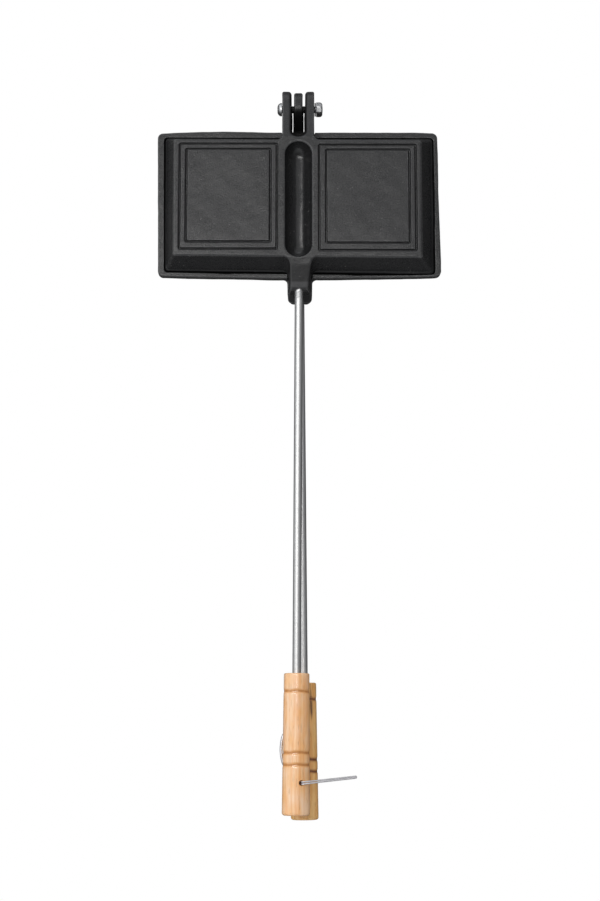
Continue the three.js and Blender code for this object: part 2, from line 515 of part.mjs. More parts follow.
// latch loop in its own frame: the cross hole's axis is Z here, the loop reaches along +X
function loopWire() {
  const top = GRIP_R1 + 1.9, low = -GRIP_R1 - 2.1, h = 0.9, e = 0.7;
  const arm = (x) => top + (x - 2.2) * Math.tan(rad(9));
  const side = (s) => bends([[0, s * 5.2, low], [0, s * h, low, 1.1], [0, s * h, arm(0) - 0.25, 1.6], [16, s * 0.78, arm(16)],
    [LOOP_REACH - e, s * e, arm(LOOP_REACH - e)]], 6);
  const tip = [1, 2, 3, 4, 5].map((k) => {
    const a = (Math.PI * k) / 6;
    return [LOOP_REACH - e + e * Math.sin(a), -e * Math.cos(a), arm(LOOP_REACH - e + e * Math.sin(a))];
  });
  return wire([...side(-1), ...tip, ...side(1).reverse()], WIRE_R, 10);
}

// ---------------------------------------------------------------- assembly
const iron = new THREE.Group();
iron.name = 'iron';

const CAST = [0x2b2b2c, 0.55, 0.35], STEEL = [0xb9bbbd, 0.28, 1.0], ZINC = [0x9a9c9e, 0.35, 1.0], WOOD = [0xd9a974, 0.5, 0.0];

iron.add(finish(upperCasting(), 'upper_casting', ...CAST));
iron.add(finish(lowerCasting(), 'lower_casting', ...CAST));
iron.add(finish(hingeBolt(), 'hinge_bolt', ...ZINC));
iron.add(finish(hingeWasher(), 'hinge_washer', ...ZINC));
iron.add(finish(hingeNut(), 'hinge_nut', ...ZINC));
iron.add(finish(rod(UP_ROD, ROD_Z, UP_GRIP_Y), 'upper_rod', ...STEEL));
iron.add(finish(rod(LOW_ROD, -ROD_Z, LOW_GRIP_Y), 'lower_rod', ...STEEL));
iron.add(finish(rodPin(UP_ROD, 2.2, 18.2), 'upper_rod_pin', ...ZINC));
iron.add(finish(rodPin(LOW_ROD, -18.2, -2.2), 'lower_rod_pin', ...ZINC));

const upperAxis = new THREE.Group();
upperAxis.position.set(rodX(UP_ROD, UP_GRIP_Y), UP_GRIP_Y, ROD_Z);
upperAxis.rotation.z = rad(UP_ROD[1]);
upperAxis.add(finish(gripBody(UP_GRIP_L, UP_GROOVES).subtract(crossHole()), 'upper_grip', ...WOOD));
iron.add(upperAxis);

const lowerAxis = new THREE.Group();
lowerAxis.position.set(rodX(LOW_ROD, LOW_GRIP_Y), LOW_GRIP_Y, -ROD_Z);
lowerAxis.rotation.z = rad(LOW_ROD[1]);
lowerAxis.add(finish(gripBody(LOW_GRIP_L, LOW_GROOVES).subtract(keeperHoles()), 'lower_grip', ...WOOD));
lowerAxis.add(finish(keeperWire(), 'grip_keeper', ...ZINC));
iron.add(lowerAxis);

const holeAxis = new THREE.Group();
holeAxis.position.set(0, -CROSS_HOLE, 0);
holeAxis.rotation.y = rad(CROSS_TILT);
const loopSwing = new THREE.Group();
loopSwing.rotation.z = rad(LOOP_SWING);
loopSwing.add(finish(loopWire(), 'latch_loop', ...STEEL));
holeAxis.add(loopSwing);
upperAxis.add(holeAxis);

const object = new THREE.Group();
object.name = 'double_sandwich_iron';
iron.position.set(...ORIGIN);
object.add(iron);

export default object;
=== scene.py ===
import math

import bpy
import numpy as np
from mathutils import Matrix, Vector


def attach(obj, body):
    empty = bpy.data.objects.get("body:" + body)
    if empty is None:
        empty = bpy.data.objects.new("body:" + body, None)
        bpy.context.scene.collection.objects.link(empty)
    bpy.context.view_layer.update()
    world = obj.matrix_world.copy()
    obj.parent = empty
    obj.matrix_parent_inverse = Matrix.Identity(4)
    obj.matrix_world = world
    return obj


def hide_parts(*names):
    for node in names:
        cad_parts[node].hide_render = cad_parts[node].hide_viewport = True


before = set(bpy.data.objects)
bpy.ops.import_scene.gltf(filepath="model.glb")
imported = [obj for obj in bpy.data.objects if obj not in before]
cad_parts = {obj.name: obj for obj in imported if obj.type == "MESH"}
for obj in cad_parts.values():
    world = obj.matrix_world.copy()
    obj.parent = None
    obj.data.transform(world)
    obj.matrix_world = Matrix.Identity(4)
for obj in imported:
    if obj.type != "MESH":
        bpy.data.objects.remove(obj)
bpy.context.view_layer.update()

# Everything below is in millimetres in the hinge frame (hinge axis X at Y = 0, Z = 0,
# joint plane Z = 0) until place() turns it into metres in the row frame.
ORIGIN = np.array([-0.31, 292.85, 24.5])
FACE, FLANGE, LIP, SEAM = 24.5, 4.0, 4.0, 0.3
BOSS_X, ROD_R, ROD_Z = 1.4, 3.5, 13.1
# each rod: x where it leaves its boss at y = -160, and its lean in degrees
UP_ROD, LOW_ROD = (0.55, -0.32), (1.65, 0.48)
UP_GRIP_Y, LOW_GRIP_Y = -482.3, -489.5
ROD_START, ROD_IN_GRIP = -139.6, 72.0
PIN_Y, PIN_R = -145.6, 1.5
UP_GRIP_L, LOW_GRIP_L, GRIP_R0, GRIP_R1, GRIP_TAPER = 113.8, 111.3, 10.4, 11.4, 113.8
UP_GROOVES, LOW_GROOVES = (14.5, 63.75, 73.4), (13.3, 62.45, 72.05)
CROSS_HOLE, CROSS_R, CROSS_TILT = 87.7, 2.1, 23.5
KEEP_Y0, KEEP_Y1, KEEPER_R = -41.6, -67.6, 1.2
WIRE_R, LOOP_REACH, LOOP_SWING = 0.62, 44.6, 6.0
EAR_R, TONGUE_R, TONGUE_T, LUG_T, SLOT_X = 15.2, 14.05, 3.7, 4.6, 0.05


# ------------------------------------------------------------------ distance fields
def join(a, b, r):
    """union with a concave fillet of radius r"""
    return np.maximum(r, np.minimum(a, b)) - np.hypot(np.maximum(r - a, 0), np.maximum(r - b, 0))


def both(a, b, r):
    """intersection with a convex round of radius r"""
    return np.minimum(-r, np.maximum(a, b)) + np.hypot(np.maximum(r + a, 0), np.maximum(r + b, 0))


def cut(a, b, r):
    return both(a, -b, r)


def rrect(x, y, x0, x1, y0, y1, r):
    qx = np.abs(x - (x0 + x1) / 2) - (x1 - x0) / 2 + r
    qy = np.abs(y - (y0 + y1) / 2) - (y1 - y0) / 2 + r
    return np.hypot(np.maximum(qx, 0), np.maximum(qy, 0)) + np.minimum(np.maximum(qx, qy), 0) - r


def polygon(u, v, pts):
    """signed distance to a closed polygon in the plane of u and v"""
    u, v = np.broadcast_arrays(np.asarray(u, float), np.asarray(v, float))
    best = np.full(u.shape, 1e18)
    inside = np.zeros(u.shape, bool)
    n = len(pts)
    for i in range(n):
        ax, ay = pts[i]
        bx, by = pts[(i + 1) % n]
        ex, ey = bx - ax, by - ay
        wx, wy = u - ax, v - ay
        t = np.clip((wx * ex + wy * ey) / max(ex * ex + ey * ey, 1e-12), 0, 1)
        best = np.minimum(best, (wx - t * ex) ** 2 + (wy - t * ey) ** 2)
        if ay != by:
            inside ^= ((ay > v) != (by > v)) & (u < ex * (v - ay) / (by - ay) + ax)
    return np.where(inside, -1.0, 1.0) * np.sqrt(best)


def rounded(corners, steps=8):
    """outline with each corner rounded: corners are (x, y, radius)"""
    out, n = [], len(corners)
    for i in range(n):
        p, c, q = corners[i - 1], corners[i], corners[(i + 1) % n]
        if not c[2]:
            out.append((c[0], c[1]))
            continue
        a = Vector((p[0] - c[0], p[1] - c[1])).normalized()
        b = Vector((q[0] - c[0], q[1] - c[1])).normalized()
        half = math.acos(max(-1, min(1, a.dot(b)))) / 2
        reach = c[2] / math.tan(half)
        mid = Vector((c[0], c[1])) + (a + b).normalized() * (c[2] / math.sin(half))
        s = math.atan2(c[1] + a.y * reach - mid.y, c[0] + a.x * reach - mid.x)
        e = math.atan2(c[1] + b.y * reach - mid.y, c[0] + b.x * reach - mid.x)
        d = (e - s + math.pi) % (2 * math.pi) - math.pi
        out += [(mid.x + c[2] * math.cos(s + d * k / steps), mid.y + c[2] * math.sin(s + d * k / steps)) for k in range(steps + 1)]
    return out


_rng = np.random.default_rng(11)
_waves = []
for _len, _amp, _n in ((62.0, 0.055, 5), (24.0, 0.030, 6), (9.0, 0.011, 7)):
    for _ in range(_n):
        _d = _rng.normal(size=3)
        _d *= 2 * math.pi / (_len * _rng.uniform(0.75, 1.3)) / np.linalg.norm(_d)
        _waves.append((_d, _rng.uniform(0, 6.28), _amp))


def uneven(x, y, z):
    """the slight waviness of a sand casting"""
    s = 0.0
    for d, p, a in _waves:
        s = s + a * np.sin(d[0] * x + d[1] * y + d[2] * z + p)
    return s


def tangents(r, yt, zt, yb, zb):
    """where the lines from (yt, zt) and (yb, zb) touch the disc of radius r"""
    a1 = math.atan2(zt, yt) - math.acos(r / math.hypot(yt, zt))
    a0 = math.atan2(zb, yb) + math.acos(r / math.hypot(yb, zb))
    return (r * math.cos(a1), r * math.sin(a1)), (r * math.cos(a0), r * math.sin(a0))


# ------------------------------------------------------------------ shapes of the castings
FRAMES = ((-99.9, -18.0, -129.45, -38.2), (-94.4, -23.45, -123.25, -42.7), (17.6, 99.25, -130.65, -39.25), (23.5, 93.85, -124.3, -43.4))
# plan outlines, a little out of square: near left, near right, far right, far left
FOOT = ((-112.45, -143.05), (113.95, -145.05), (113.75, -28.3), (-113.15, -27.3))
TOP = ((-105.3, -134.95), (103.9, -136.9), (103.95, -35.3), (-105.35, -34.3))


def block_walls(x, y, z):
    m = 0.955 * (z - 3.0) / 20.6
    walls = []
    for k in range(4):
        # each wall runs between two straight edges, one at its foot and one at the face
        u, v = (x, y) if k in (0, 2) else (y, x)
        i, j = k, (k + 1) % 4
        line = lambda q: (q[i][k % 2], q[i][1 - k % 2], q[j][k % 2], q[j][1 - k % 2])
        a, b, c, d = line(FOOT)
        e, f, g, h = line(TOP)
        low = b + (u - a) * (d - b) / (c - a)
        high = f + (u - e) * (h - f) / (g - e)
        run = abs((b + d) - (f + h)) / 2
        walls.append((low + (high - low) * m - v) * (1 if k in (0, 3) else -1) * 20.6 / math.hypot(20.6, 0.955 * run))
    return both(np.maximum(walls[1], walls[3]), np.maximum(walls[0], walls[2]), 2.4)


def pocket_room(x, y, z):
    a, m = np.abs(x), z * 0.0497
    dx = np.maximum(4.6 + 12.6 * m - a, (a - 108.8 + 8.2 * m) * 0.93)
    dy = np.maximum((-139.4 + 8.6 * m - y) * 0.92, (y + 31.0 + 8.6 * m) * 0.92)
    return both(both(dx, dy, 7.0), z - (FACE - 4.2), 2.6)


def gutter_room(x, y, z):
    a, b = 11.3, 13.5
    d = np.hypot(x - 0.2, np.maximum(np.maximum(y + 47.4, -125.0 - y), 0))
    v = np.maximum(FACE - z, 0)
    k0 = np.sqrt((d / a) ** 2 + (v / b) ** 2) + 1e-9
    k1 = np.sqrt((d / a**2) ** 2 + (v / b**2) ** 2) + 1e-9
    return k0 * (k0 - 1) / k1


def frame_lines(x, y, z, r):
    best = None
    for x0, x1, y0, y1 in FRAMES:
        d = np.hypot(rrect(x, y, x0, x1, y0, y1, 1.2), (z - FACE - 0.05) * 0.62) - r
        best = d if best is None else np.minimum(best, d)
    return best


def leaning(y, rod):
    return rod[0] + math.tan(math.radians(rod[1])) * (-160 - y)


UP_FLANGE = rounded([(-112.75, -143.2, 3.0), (115.1, -146.2, 3.0), (114.9, -27.3, 3.0), (-113.4, -26.8, 3.0)])


def upper_casting(x, y, z):
    ear = np.maximum(np.abs(x) - 13.72 + 0.006 * z, -60 - y)
    far = np.clip((-141.4 - y) / 19.0, 0, 1)
    up = np.clip(z / FACE, 0, 1)
    boss = np.maximum(np.maximum(BOSS_X - x - 10.0 + up * (1.5 + 1.1 * far), x - BOSS_X - 10.0 + up * (0.5 + 3.9 * far)), y + 100)
    body = join(block_walls(x, y, z), ear, 4.8)
    body = join(body, boss, 5.5)
    flange = both(polygon(x, y, UP_FLANGE), z - FLANGE, 0.9)
    body = join(body, flange, 1.1)
    top, low = tangents(EAR_R, -32.0, FACE, -20.5, 0.5)
    side = polygon(y, z, [(-163.45, 0.3), (-163.3, 15.6), (-162.4, 17.1), (-160.6, 18.1), (-156.6, 19.6), (-136.5, 24.5), (-32.0, 24.5), top, (0, 0), low, (-20.5, 0.3)])
    side = np.minimum(side, np.hypot(y, z) - EAR_R)
    body = both(body, side, 1.4)
    w = np.interp(z, [1.5, 12, 26.5], [4.98, 5.5, 6.85])
    e = np.interp(z, [1.5, 12, 26.5], [-24.5, -26.6, -32.2]) + w
    wide = 0.75 * np.clip((y + 4) / 7, 0, 1)
    body = cut(body, np.where(y > e, np.abs(x - SLOT_X) - w - wide, np.hypot(x - SLOT_X, y - e) - w), 2.6)
    body = cut(body, pocket_room(x, y, z), 0.7)
    body = cut(body, gutter_room(x, y, z), 1.3)
    body = cut(body, frame_lines(x, y, z, 1.05), 0.22)
    body = cut(body, np.hypot(y, z) - 3.3, 0.4)
    body = cut(body, np.maximum(np.hypot(x - leaning(y, UP_ROD), z - ROD_Z) - 3.62, y + 139.0), 0.2)
    body = cut(body, np.maximum(np.hypot(x - leaning(PIN_Y, UP_ROD), y - PIN_Y) - 1.72, z - 18.6), 0.25)
    return body + uneven(x, y, z)


LOWER_OUTLINE = rounded(
    [(-119.0, -147.95, 4.8)] + [(x, y, 0) for x, y in ((-95, -148.65), (-68, -149.25), (-41, -149.55), (-20, -149.95), (20, -149.95), (47, -149.7), (75, -149.4), (102, -148.8))]
    + [(121.25, -148.1, 5.0), (119.0, -22.3, 4.6)] + [(x, y, 0) for x, y in ((100, -21.65), (61, -21.45), (20, -21.4), (-21, -21.45), (-41, -20.95), (-65, -20.7), (-83, -20.95), (-103, -21.6))]
    + [(-120.6, -22.3, 4.6)]
)
RECESS = rounded([(-113.9, -144.75, 3.2), (-60, -145.65, 0), (0, -146.35, 0), (60, -147.15, 0), (95, -147.1, 0), (116.3, -146.75, 3.2), (115.95, -26.55, 3.2), (-115.1, -26.1, 3.2)])


def lower_casting(x, y, z):
    d = -z
    rim = both(polygon(x, y, LOWER_OUTLINE), np.abs(z) - 4.0, 1.15)
    body = join(rim, both(np.maximum(block_walls(x, y, d), -d), d - FACE, 1.4), 2.0)
    # boss, flush with the underside at its root and falling away to its end
    slope = np.maximum(np.maximum((d - 24.5 - np.minimum((y + 136.5) * 0.208, 0)) * 0.98, (d - 19.4 - (y + 161) * 0.55) * 0.876), -d)
    end = (-170.4 + 0.13 * d - y) * 0.99
    far = np.clip((-141.4 - y) / 24.0, 0, 1)
    boss = both(both(np.maximum(np.abs(x - BOSS_X) - 10.7 + np.clip(d / FACE, 0, 1) * (1.7 + 1.6 * far), y + 100), end, 3.4), slope, 1.3)
    # where it reaches past the upper boss its joint side falls away
    boss = both(boss, ((-162 - y) * 0.46 - d) * 0.9, 1.2)
    body = join(body, boss, 4.0)
    body = np.maximum(body, d - FACE)
    body = cut(body, np.maximum(polygon(x, y, RECESS), d), 0.35)
    body = cut(body, np.maximum(np.maximum(np.abs(x) - 13.92 - 0.03 * z, -30 - y), d), 0.12)
    body = cut(body, np.maximum(np.maximum(np.abs(x - BOSS_X) - 10.45, y + 138), d), 0.6)
    body = cut(body, np.maximum(np.hypot(y, z) - 15.9, np.abs(x) - 14.1), 0.4)
    # hinge tongue on its slightly thicker lug
    u = x - SLOT_X
    top, low = tangents(TONGUE_R, -34.0, FACE, -19.6, 0.01)
    t = np.minimum(polygon(y, d, [(-37.5, 0.0), (-37.5, 24.5), (-34.0, 24.5), top, (0, 0), low, (-19.6, 0.0)]), np.hypot(y, z) - TONGUE_R)
    tongue = both(np.abs(u) - TONGUE_T, t, 1.7)
    lug = both(np.abs(u) - LUG_T, polygon(y, d, [(-38, 0.0), (-16.0, 0.0), (-12.6, 3.0), (-6.0, 7.0), (1.5, 8.6), (-1.0, 13.2), (-38, 24.5)]), 0.5)
    knuckle = join(tongue, lug, 0.8)
    body = join(body, knuckle, 2.2)
    body = np.maximum(body, d - FACE)
    body = np.where((np.abs(u) > 4.75) & (np.abs(x) < 14.1), np.maximum(body, 15.75 - np.hypot(y, z)), body)
    body = cut(body, pocket_room(x, y, d), 0.7)
    body = cut(body, gutter_room(x, y, d), 1.3)
    body = cut(body, frame_lines(x, y, d, 1.05), 0.22)
    body = cut(body, np.hypot(y, z) - 3.3, 0.4)
    body = cut(body, np.maximum(np.hypot(x - leaning(y, LOW_ROD), d - ROD_Z) - 3.62, y + 139.0), 0.2)
    body = cut(body, np.maximum(np.hypot(x - leaning(PIN_Y, LOW_ROD), y - PIN_Y) - 1.72, d - 18.6), 0.25)
    return body + uneven(x + 300, y, z)


def ease(v, a, b):
    t = np.clip((v - a) / (b - a), 0, 1)
    return t * t * (3 - 2 * t)


def oiled(x, y, d):
    """the gutter in the spine is smoother, with a film of oil"""
    return ease(FACE - 0.9 - d, 0, 1.5) * (np.abs(x - 0.2) < 11.5) * (y > -136.5) * (y < -35.9) * (d > 8)


def shade_light_and_oil_upper(P):
    """painted shade deep in the seam round the flange, inside the hinge slot, along the frame lines and, lighter, on
    the boss top; painted light on the boss end and the ears; and the oiled gutter
    """
    x, y, z = P.T
    seam = ease(-z, -4.9, -3.4) * (y > -150) * (np.hypot(y, z) > 20)
    slot = ease(8.3 - np.abs(x - SLOT_X), 0, 2.2) * ease(z, 24.3, 22.6) * ease(y, -36, -32)
    line = ease(-frame_lines(x, y, z, 0.95), -0.15, 0.35) * 0.7
    slot = np.maximum(slot, line)
    boss = 0.36 * ease(-y, 141.0, 144.0) * ease(y, -157.0, -156.0) * (z > 15)
    # the sloping end of the boss is painted lighter: painted light
    rub = ease(-y, 156.4, 157.4) * ease(y, -161.6, -160.6) * (z > 16.5) * ease(8.0 - np.abs(x - 1.6), 0, 1.2)
    # the ears are painted a little lighter: painted light on them
    rub = np.maximum(rub, 0.15 * ease(y, -34.0, -14.0))
    return {"soot": np.clip(np.maximum(np.maximum(seam, slot), boss), 0, 1), "rub": rub, "oil": oiled(x, y, z)}


def shade_and_oil_lower(P):
    x, y, z = P.T
    # painted shade, dark, in the seam round the recess, inside the hinge slot by the lug, on the end of the boss
    # below the rod and along the frame lines
    seam = ease(-polygon(x, y, RECESS), -0.35, 0.35) * ease(-z, -3.5, -2.4) * (z > -0.5)
    slot = ease(4.9 - np.abs(x - SLOT_X), 0, 0.3) * ease(-y, 1.5, 7.0) * ease(y, -27, -19) * (z > -20)
    end = ease(-y, 158.0, 161.0) * ease(z, -14.0, -9.0) * 0.45
    end = np.maximum(end, ease(-frame_lines(x, y, -z, 0.95), -0.15, 0.35) * 0.7)
    return {"soot": np.clip(np.maximum(np.maximum(seam, slot), end), 0, 1), "oil": oiled(x, y, -z)}


# ------------------------------------------------------------------ field to mesh
def lines(a, b, fine, coarse, spans, grow=0.35):
    """grid lines from a to b, close together inside the spans and wider away from them"""
    out = [a]
    while out[-1] < b:
        d = min(max(lo - out[-1], out[-1] - hi, 0) for lo, hi in spans)
        out.append(out[-1] + min(coarse, fine + grow * d))
    return np.array(out)


CORNERS = [(0, 0, 0), (1, 0, 0), (0, 1, 0), (1, 1, 0), (0, 0, 1), (1, 0, 1), (0, 1, 1), (1, 1, 1)]
EDGES = [(a, b) for a in range(8) for b in range(a + 1, 8) if sum(abs(p - q) for p, q in zip(CORNERS[a], CORNERS[b])) == 1]


def skin(f, xs, ys, zs, settle=3):
    """the surface where f is 0, as quads with one point per crossed cell, drawn onto the field"""
    F = np.ascontiguousarray(np.broadcast_to(f(xs[:, None, None], ys[None, :, None], zs[None, None, :]), (len(xs), len(ys), len(zs))).astype(np.float32))
    inside = F < 0
    count = sum(inside[a : a + len(xs) - 1, b : b + len(ys) - 1, c : c + len(zs) - 1].astype(np.uint8) for a, b, c in CORNERS)
    active = (count > 0) & (count < 8)
    i, j, k = np.nonzero(active)
    index = np.full(active.shape, -1, np.int32)
    index[i, j, k] = np.arange(len(i))
    P, n = np.zeros((len(i), 3)), np.zeros(len(i))
    at = [(i + a, j + b, k + c) for a, b, c in CORNERS]
    val = [F[q] for q in at]
    for a, b in EDGES:
        m = (val[a] < 0) != (val[b] < 0)
        t = (val[a][m] / (val[a][m] - val[b][m]))[:, None]
        pa = np.stack([xs[at[a][0][m]], ys[at[a][1][m]], zs[at[a][2][m]]], 1)
        pb = np.stack([xs[at[b][0][m]], ys[at[b][1][m]], zs[at[b][2][m]]], 1)
        P[m] += pa + t * (pb - pa)
        n[m] += 1
    P /= n[:, None]
    quads = []
    for axis in range(3):
        u, v = (axis + 1) % 3, (axis + 2) % 3
        lo, hi = [slice(None)] * 3, [slice(None)] * 3
        lo[axis], hi[axis] = slice(0, -1), slice(1, None)
        for s in (lo, hi):
            s[u] = slice(1, -1)
            s[v] = slice(1, -1)
        A, B = inside[tuple(lo)], inside[tuple(hi)]
        q = np.stack(np.nonzero(A != B), 1)
        out = A[tuple(q.T)]
        q[:, u] += 1
        q[:, v] += 1
        ring = []
        for du, dv in ((1, 1), (0, 1), (0, 0), (1, 0)):
            c = q.copy()
            c[:, u] -= du
            c[:, v] -= dv
            ring.append(index[tuple(c.T)])
        ring = np.stack(ring, 1)
        ring[~out] = ring[~out][:, ::-1]
        quads.append(ring)
    quads = np.concatenate(quads)
    span = np.stack([np.diff(xs)[i], np.diff(ys)[j], np.diff(zs)[k]], 1)
    e = 0.02
    for _ in range(settle):
        d = f(*P.T)
        g = np.stack([f(*(P + e * np.eye(3)[a]).T) - d for a in range(3)], 1) / e
        step = -d[:, None] * g / np.maximum((g * g).sum(1), 0.25)[:, None]
        P += np.clip(step, -0.3 * span, 0.3 * span)
    e = 0.06
    N = np.stack([f(*(P + e * np.eye(3)[a]).T) - f(*(P - e * np.eye(3)[a]).T) for a in range(3)], 1)
    N /= np.maximum(np.linalg.norm(N, axis=1), 1e-9)[:, None]
    e = 0.55
    H = (sum(f(*(P + s * e * np.eye(3)[a]).T) for a in range(3) for s in (1, -1)) - 6 * f(*P.T)) / e**2
    return P, quads, N, np.clip(H, -1, 1)


def place(P, N, turn=None, to=None):
    """local to row frame, in metres"""
    if turn is not None:
        P, N = P @ turn.T, N @ turn.T
    if to is not None:
        P = P + to
    return (P + ORIGIN) / 1000, N


def new_mesh(name, P, faces, N=None, **attributes):
    faces = np.asarray(faces, np.int32)
    me = bpy.data.meshes.new(name)
    me.vertices.add(len(P))
    me.vertices.foreach_set("co", np.ascontiguousarray(P, np.float32).ravel())
    me.loops.add(faces.size)
    me.loops.foreach_set("vertex_index", faces.ravel())
    me.polygons.add(len(faces))
    me.polygons.foreach_set("loop_start", np.arange(len(faces), dtype=np.int32) * faces.shape[1])
    me.update(calc_edges=True)
    me.validate()
    me.polygons.foreach_set("use_smooth", np.ones(len(me.polygons), bool))
    for key, value in attributes.items():
        value = np.asarray(value, np.float32)
        kind = "FLOAT_VECTOR" if value.ndim == 2 else "FLOAT"
        a = me.attributes.new(key, kind, "POINT")
        a.data.foreach_set("vector" if value.ndim == 2 else "value", value.ravel())
    if N is not None:
        me.normals_split_custom_set_from_vertices(np.asarray(N, float).tolist())
    o = bpy.data.objects.new(name, me)
    bpy.context.scene.collection.objects.link(o)
    return o


def piece(name, obj, body, nodes, material):
    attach(obj, body)
    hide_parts(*nodes)
    obj.data.materials.append(material)
    return obj


def field_piece(name, f, grid, body, nodes, material, turn=None, to=None, extra=None, settle=3):
    P, quads, N, H = skin(f, *grid, settle=settle)
    more = extra(P) if extra else {}
    W, M = place(P, N, turn, to)
    return piece(name, new_mesh(name, W, quads, M, curv=H, **more), body, nodes, material)


# ------------------------------------------------------------------ node helpers
class Tree:
    def __init__(self, name):
        self.mat = bpy.data.materials.new(name)
        self.mat.use_nodes = True
        self.nt = self.mat.node_tree
        self.nt.nodes.clear()

    def add(self, kind, props=None, **inputs):
        n = self.nt.nodes.new("ShaderNode" + kind)
        for k, v in (props or {}).items():
            setattr(n, k, v)
        for k, v in inputs.items():
            s = n.inputs[int(k[1:]) if k[0] == "_" and k[1:].isdigit() else k.replace("_", " ")]
            if isinstance(v, bpy.types.NodeSocket):
                self.nt.links.new(v, s)
            else:
                s.default_value = v
        return n

    def math(self, op, a, b=0.0, c=0.0, clamp=False):
        return self.add("Math", {"operation": op, "use_clamp": clamp}, _0=a, _1=b, _2=c).outputs[0]

    def ramp(self, value, stops, mode="LINEAR"):
        n = self.nt.nodes.new("ShaderNodeValToRGB")
        n.color_ramp.interpolation = mode
        el = n.color_ramp.elements
        while len(el) < len(stops):
            el.new(0.5)
        for e, (p, c) in zip(el, stops):
            e.position = p
            e.color = (c, c, c, 1) if not hasattr(c, "__len__") else (*c, 1)
        self.nt.links.new(value, n.inputs[0])
        return n.outputs[0]

    def mix(self, fac, a, b, blend="MIX"):
        n = self.nt.nodes.new("ShaderNodeMix")
        n.data_type, n.blend_type = "RGBA", blend
        for s, v in ((n.inputs[0], fac), (n.inputs[6], a), (n.inputs[7], b)):
            if isinstance(v, bpy.types.NodeSocket):
                self.nt.links.new(v, s)
            else:
                s.default_value = v if not hasattr(v, "__len__") or len(v) == 4 else (*v, 1)
        return n.outputs[2]

    def noise(self, vec, scale, detail=2.0, rough=0.5, distortion=0.0):
        return self.add("TexNoise", Vector=vec, Scale=scale, Detail=detail, Roughness=rough, Distortion=distortion).outputs[0]

    def scaled(self, vec, s):
        return self.add("Mapping", Vector=vec, Scale=s).outputs[0]

    def attribute(self, name, out=2):
        n = self.nt.nodes.new("ShaderNodeAttribute")
        n.attribute_name = name
        return n.outputs[out]

    def done(self, **inputs):
        b = self.add("BsdfPrincipled", **inputs)
        out = self.nt.nodes.new("ShaderNodeOutputMaterial")
        self.nt.links.new(b.outputs[0], out.inputs[0])
        return self.mat

    def coords(self):
        return self.add("TexCoord").outputs["Object"]


def cast_iron():
    t = Tree("cast_iron")
    p = t.coords()
    broad = t.noise(p, 26, 3, 0.55)
    grain = t.noise(p, 900, 3, 0.6)
    sand = t.noise(p, 2400, 2, 0.6)
    speck = t.add("TexVoronoi", {"feature": "F1"}, Vector=p, Scale=330.0, Randomness=1.0).outputs["Distance"]
    keep = t.noise(p, 150, 2, 0.6)
    dot = t.math("MULTIPLY", t.ramp(speck, [(0.0, 1.0), (0.16, 0.6), (0.24, 0.0)]), t.ramp(keep, [(0.56, 0.0), (0.66, 1.0)]))
    curv = t.attribute("curv")
    # convex edges painted lighter and a little glossier: partly edge wear, partly a painted highlight along the edges
    wear_and_edge_highlight = t.ramp(curv, [(0.30, 0.0), (0.85, 1.0)])
    # concave places painted darker: painted shade in the creases
    crease_shade = t.ramp(t.math("MULTIPLY", curv, -1.0), [(0.05, 0.0), (0.7, 1.0)])
    tone = t.mix(t.ramp(broad, [(0.3, 0.0), (0.7, 1.0)]), (0.0085, 0.0087, 0.0092), (0.0130, 0.0130, 0.0134))
    tone = t.mix(t.ramp(grain, [(0.38, 0.0), (0.68, 0.8)]), tone, (0.021, 0.021, 0.0217))
    tone = t.mix(t.math("MULTIPLY", dot, 0.75), tone, (0.12, 0.118, 0.115))
    tone = t.mix(t.math("MULTIPLY", wear_and_edge_highlight, 0.55), tone, (0.075, 0.075, 0.076))
    tone = t.mix(t.math("MULTIPLY", crease_shade, 0.5), tone, (0.008, 0.008, 0.0085))
    # painted light: the boss end and the ears are painted lighter
    tone = t.mix(t.math("MULTIPLY", t.attribute("rub"), 0.9), tone, (0.055, 0.055, 0.056))
    # painted shade: the seams, slot, grooves and boss top are painted near black, made rougher and their reflection
    # tinted away
    soot = t.attribute("soot")
    tone = t.mix(t.math("MULTIPLY", soot, 0.85), tone, (0.0022, 0.0022, 0.0023))
    rough = t.math("ADD", t.math("MULTIPLY", broad, 0.10), t.math("MULTIPLY", grain, 0.18))
    rough = t.math("ADD", rough, 0.145)
    rough = t.math("SUBTRACT", rough, t.math("MULTIPLY", wear_and_edge_highlight, 0.05))
    rough = t.math("SUBTRACT", rough, t.math("MULTIPLY", t.attribute("oil"), 0.115))
    rough = t.math("ADD", rough, t.math("MULTIPLY", soot, 0.48), clamp=True)
    height = t.math("ADD", t.math("MULTIPLY", grain, 1.0), t.math("MULTIPLY", sand, 0.45))
    height = t.math("ADD", height, t.math("MULTIPLY", dot, -0.9))
    height = t.math("ADD", height, t.math("MULTIPLY", t.noise(p, 230, 2, 0.5), 0.7))
    height = t.math("MULTIPLY", height, t.math("SUBTRACT", 1.0, t.math("MULTIPLY", t.attribute("oil"), 0.55)))
    bump = t.add("Bump", Strength=1.0, Distance=0.00016, Height=height).outputs[0]
    # the painted shade also takes out the reflection there
    tint = t.mix(t.math("MULTIPLY", soot, 0.85), (1.0, 1.0, 1.0), (0.0, 0.0, 0.0))
    return t.done(Base_Color=tone, Roughness=rough, Normal=bump, Specular_Tint=tint, Specular_IOR_Level=0.36)


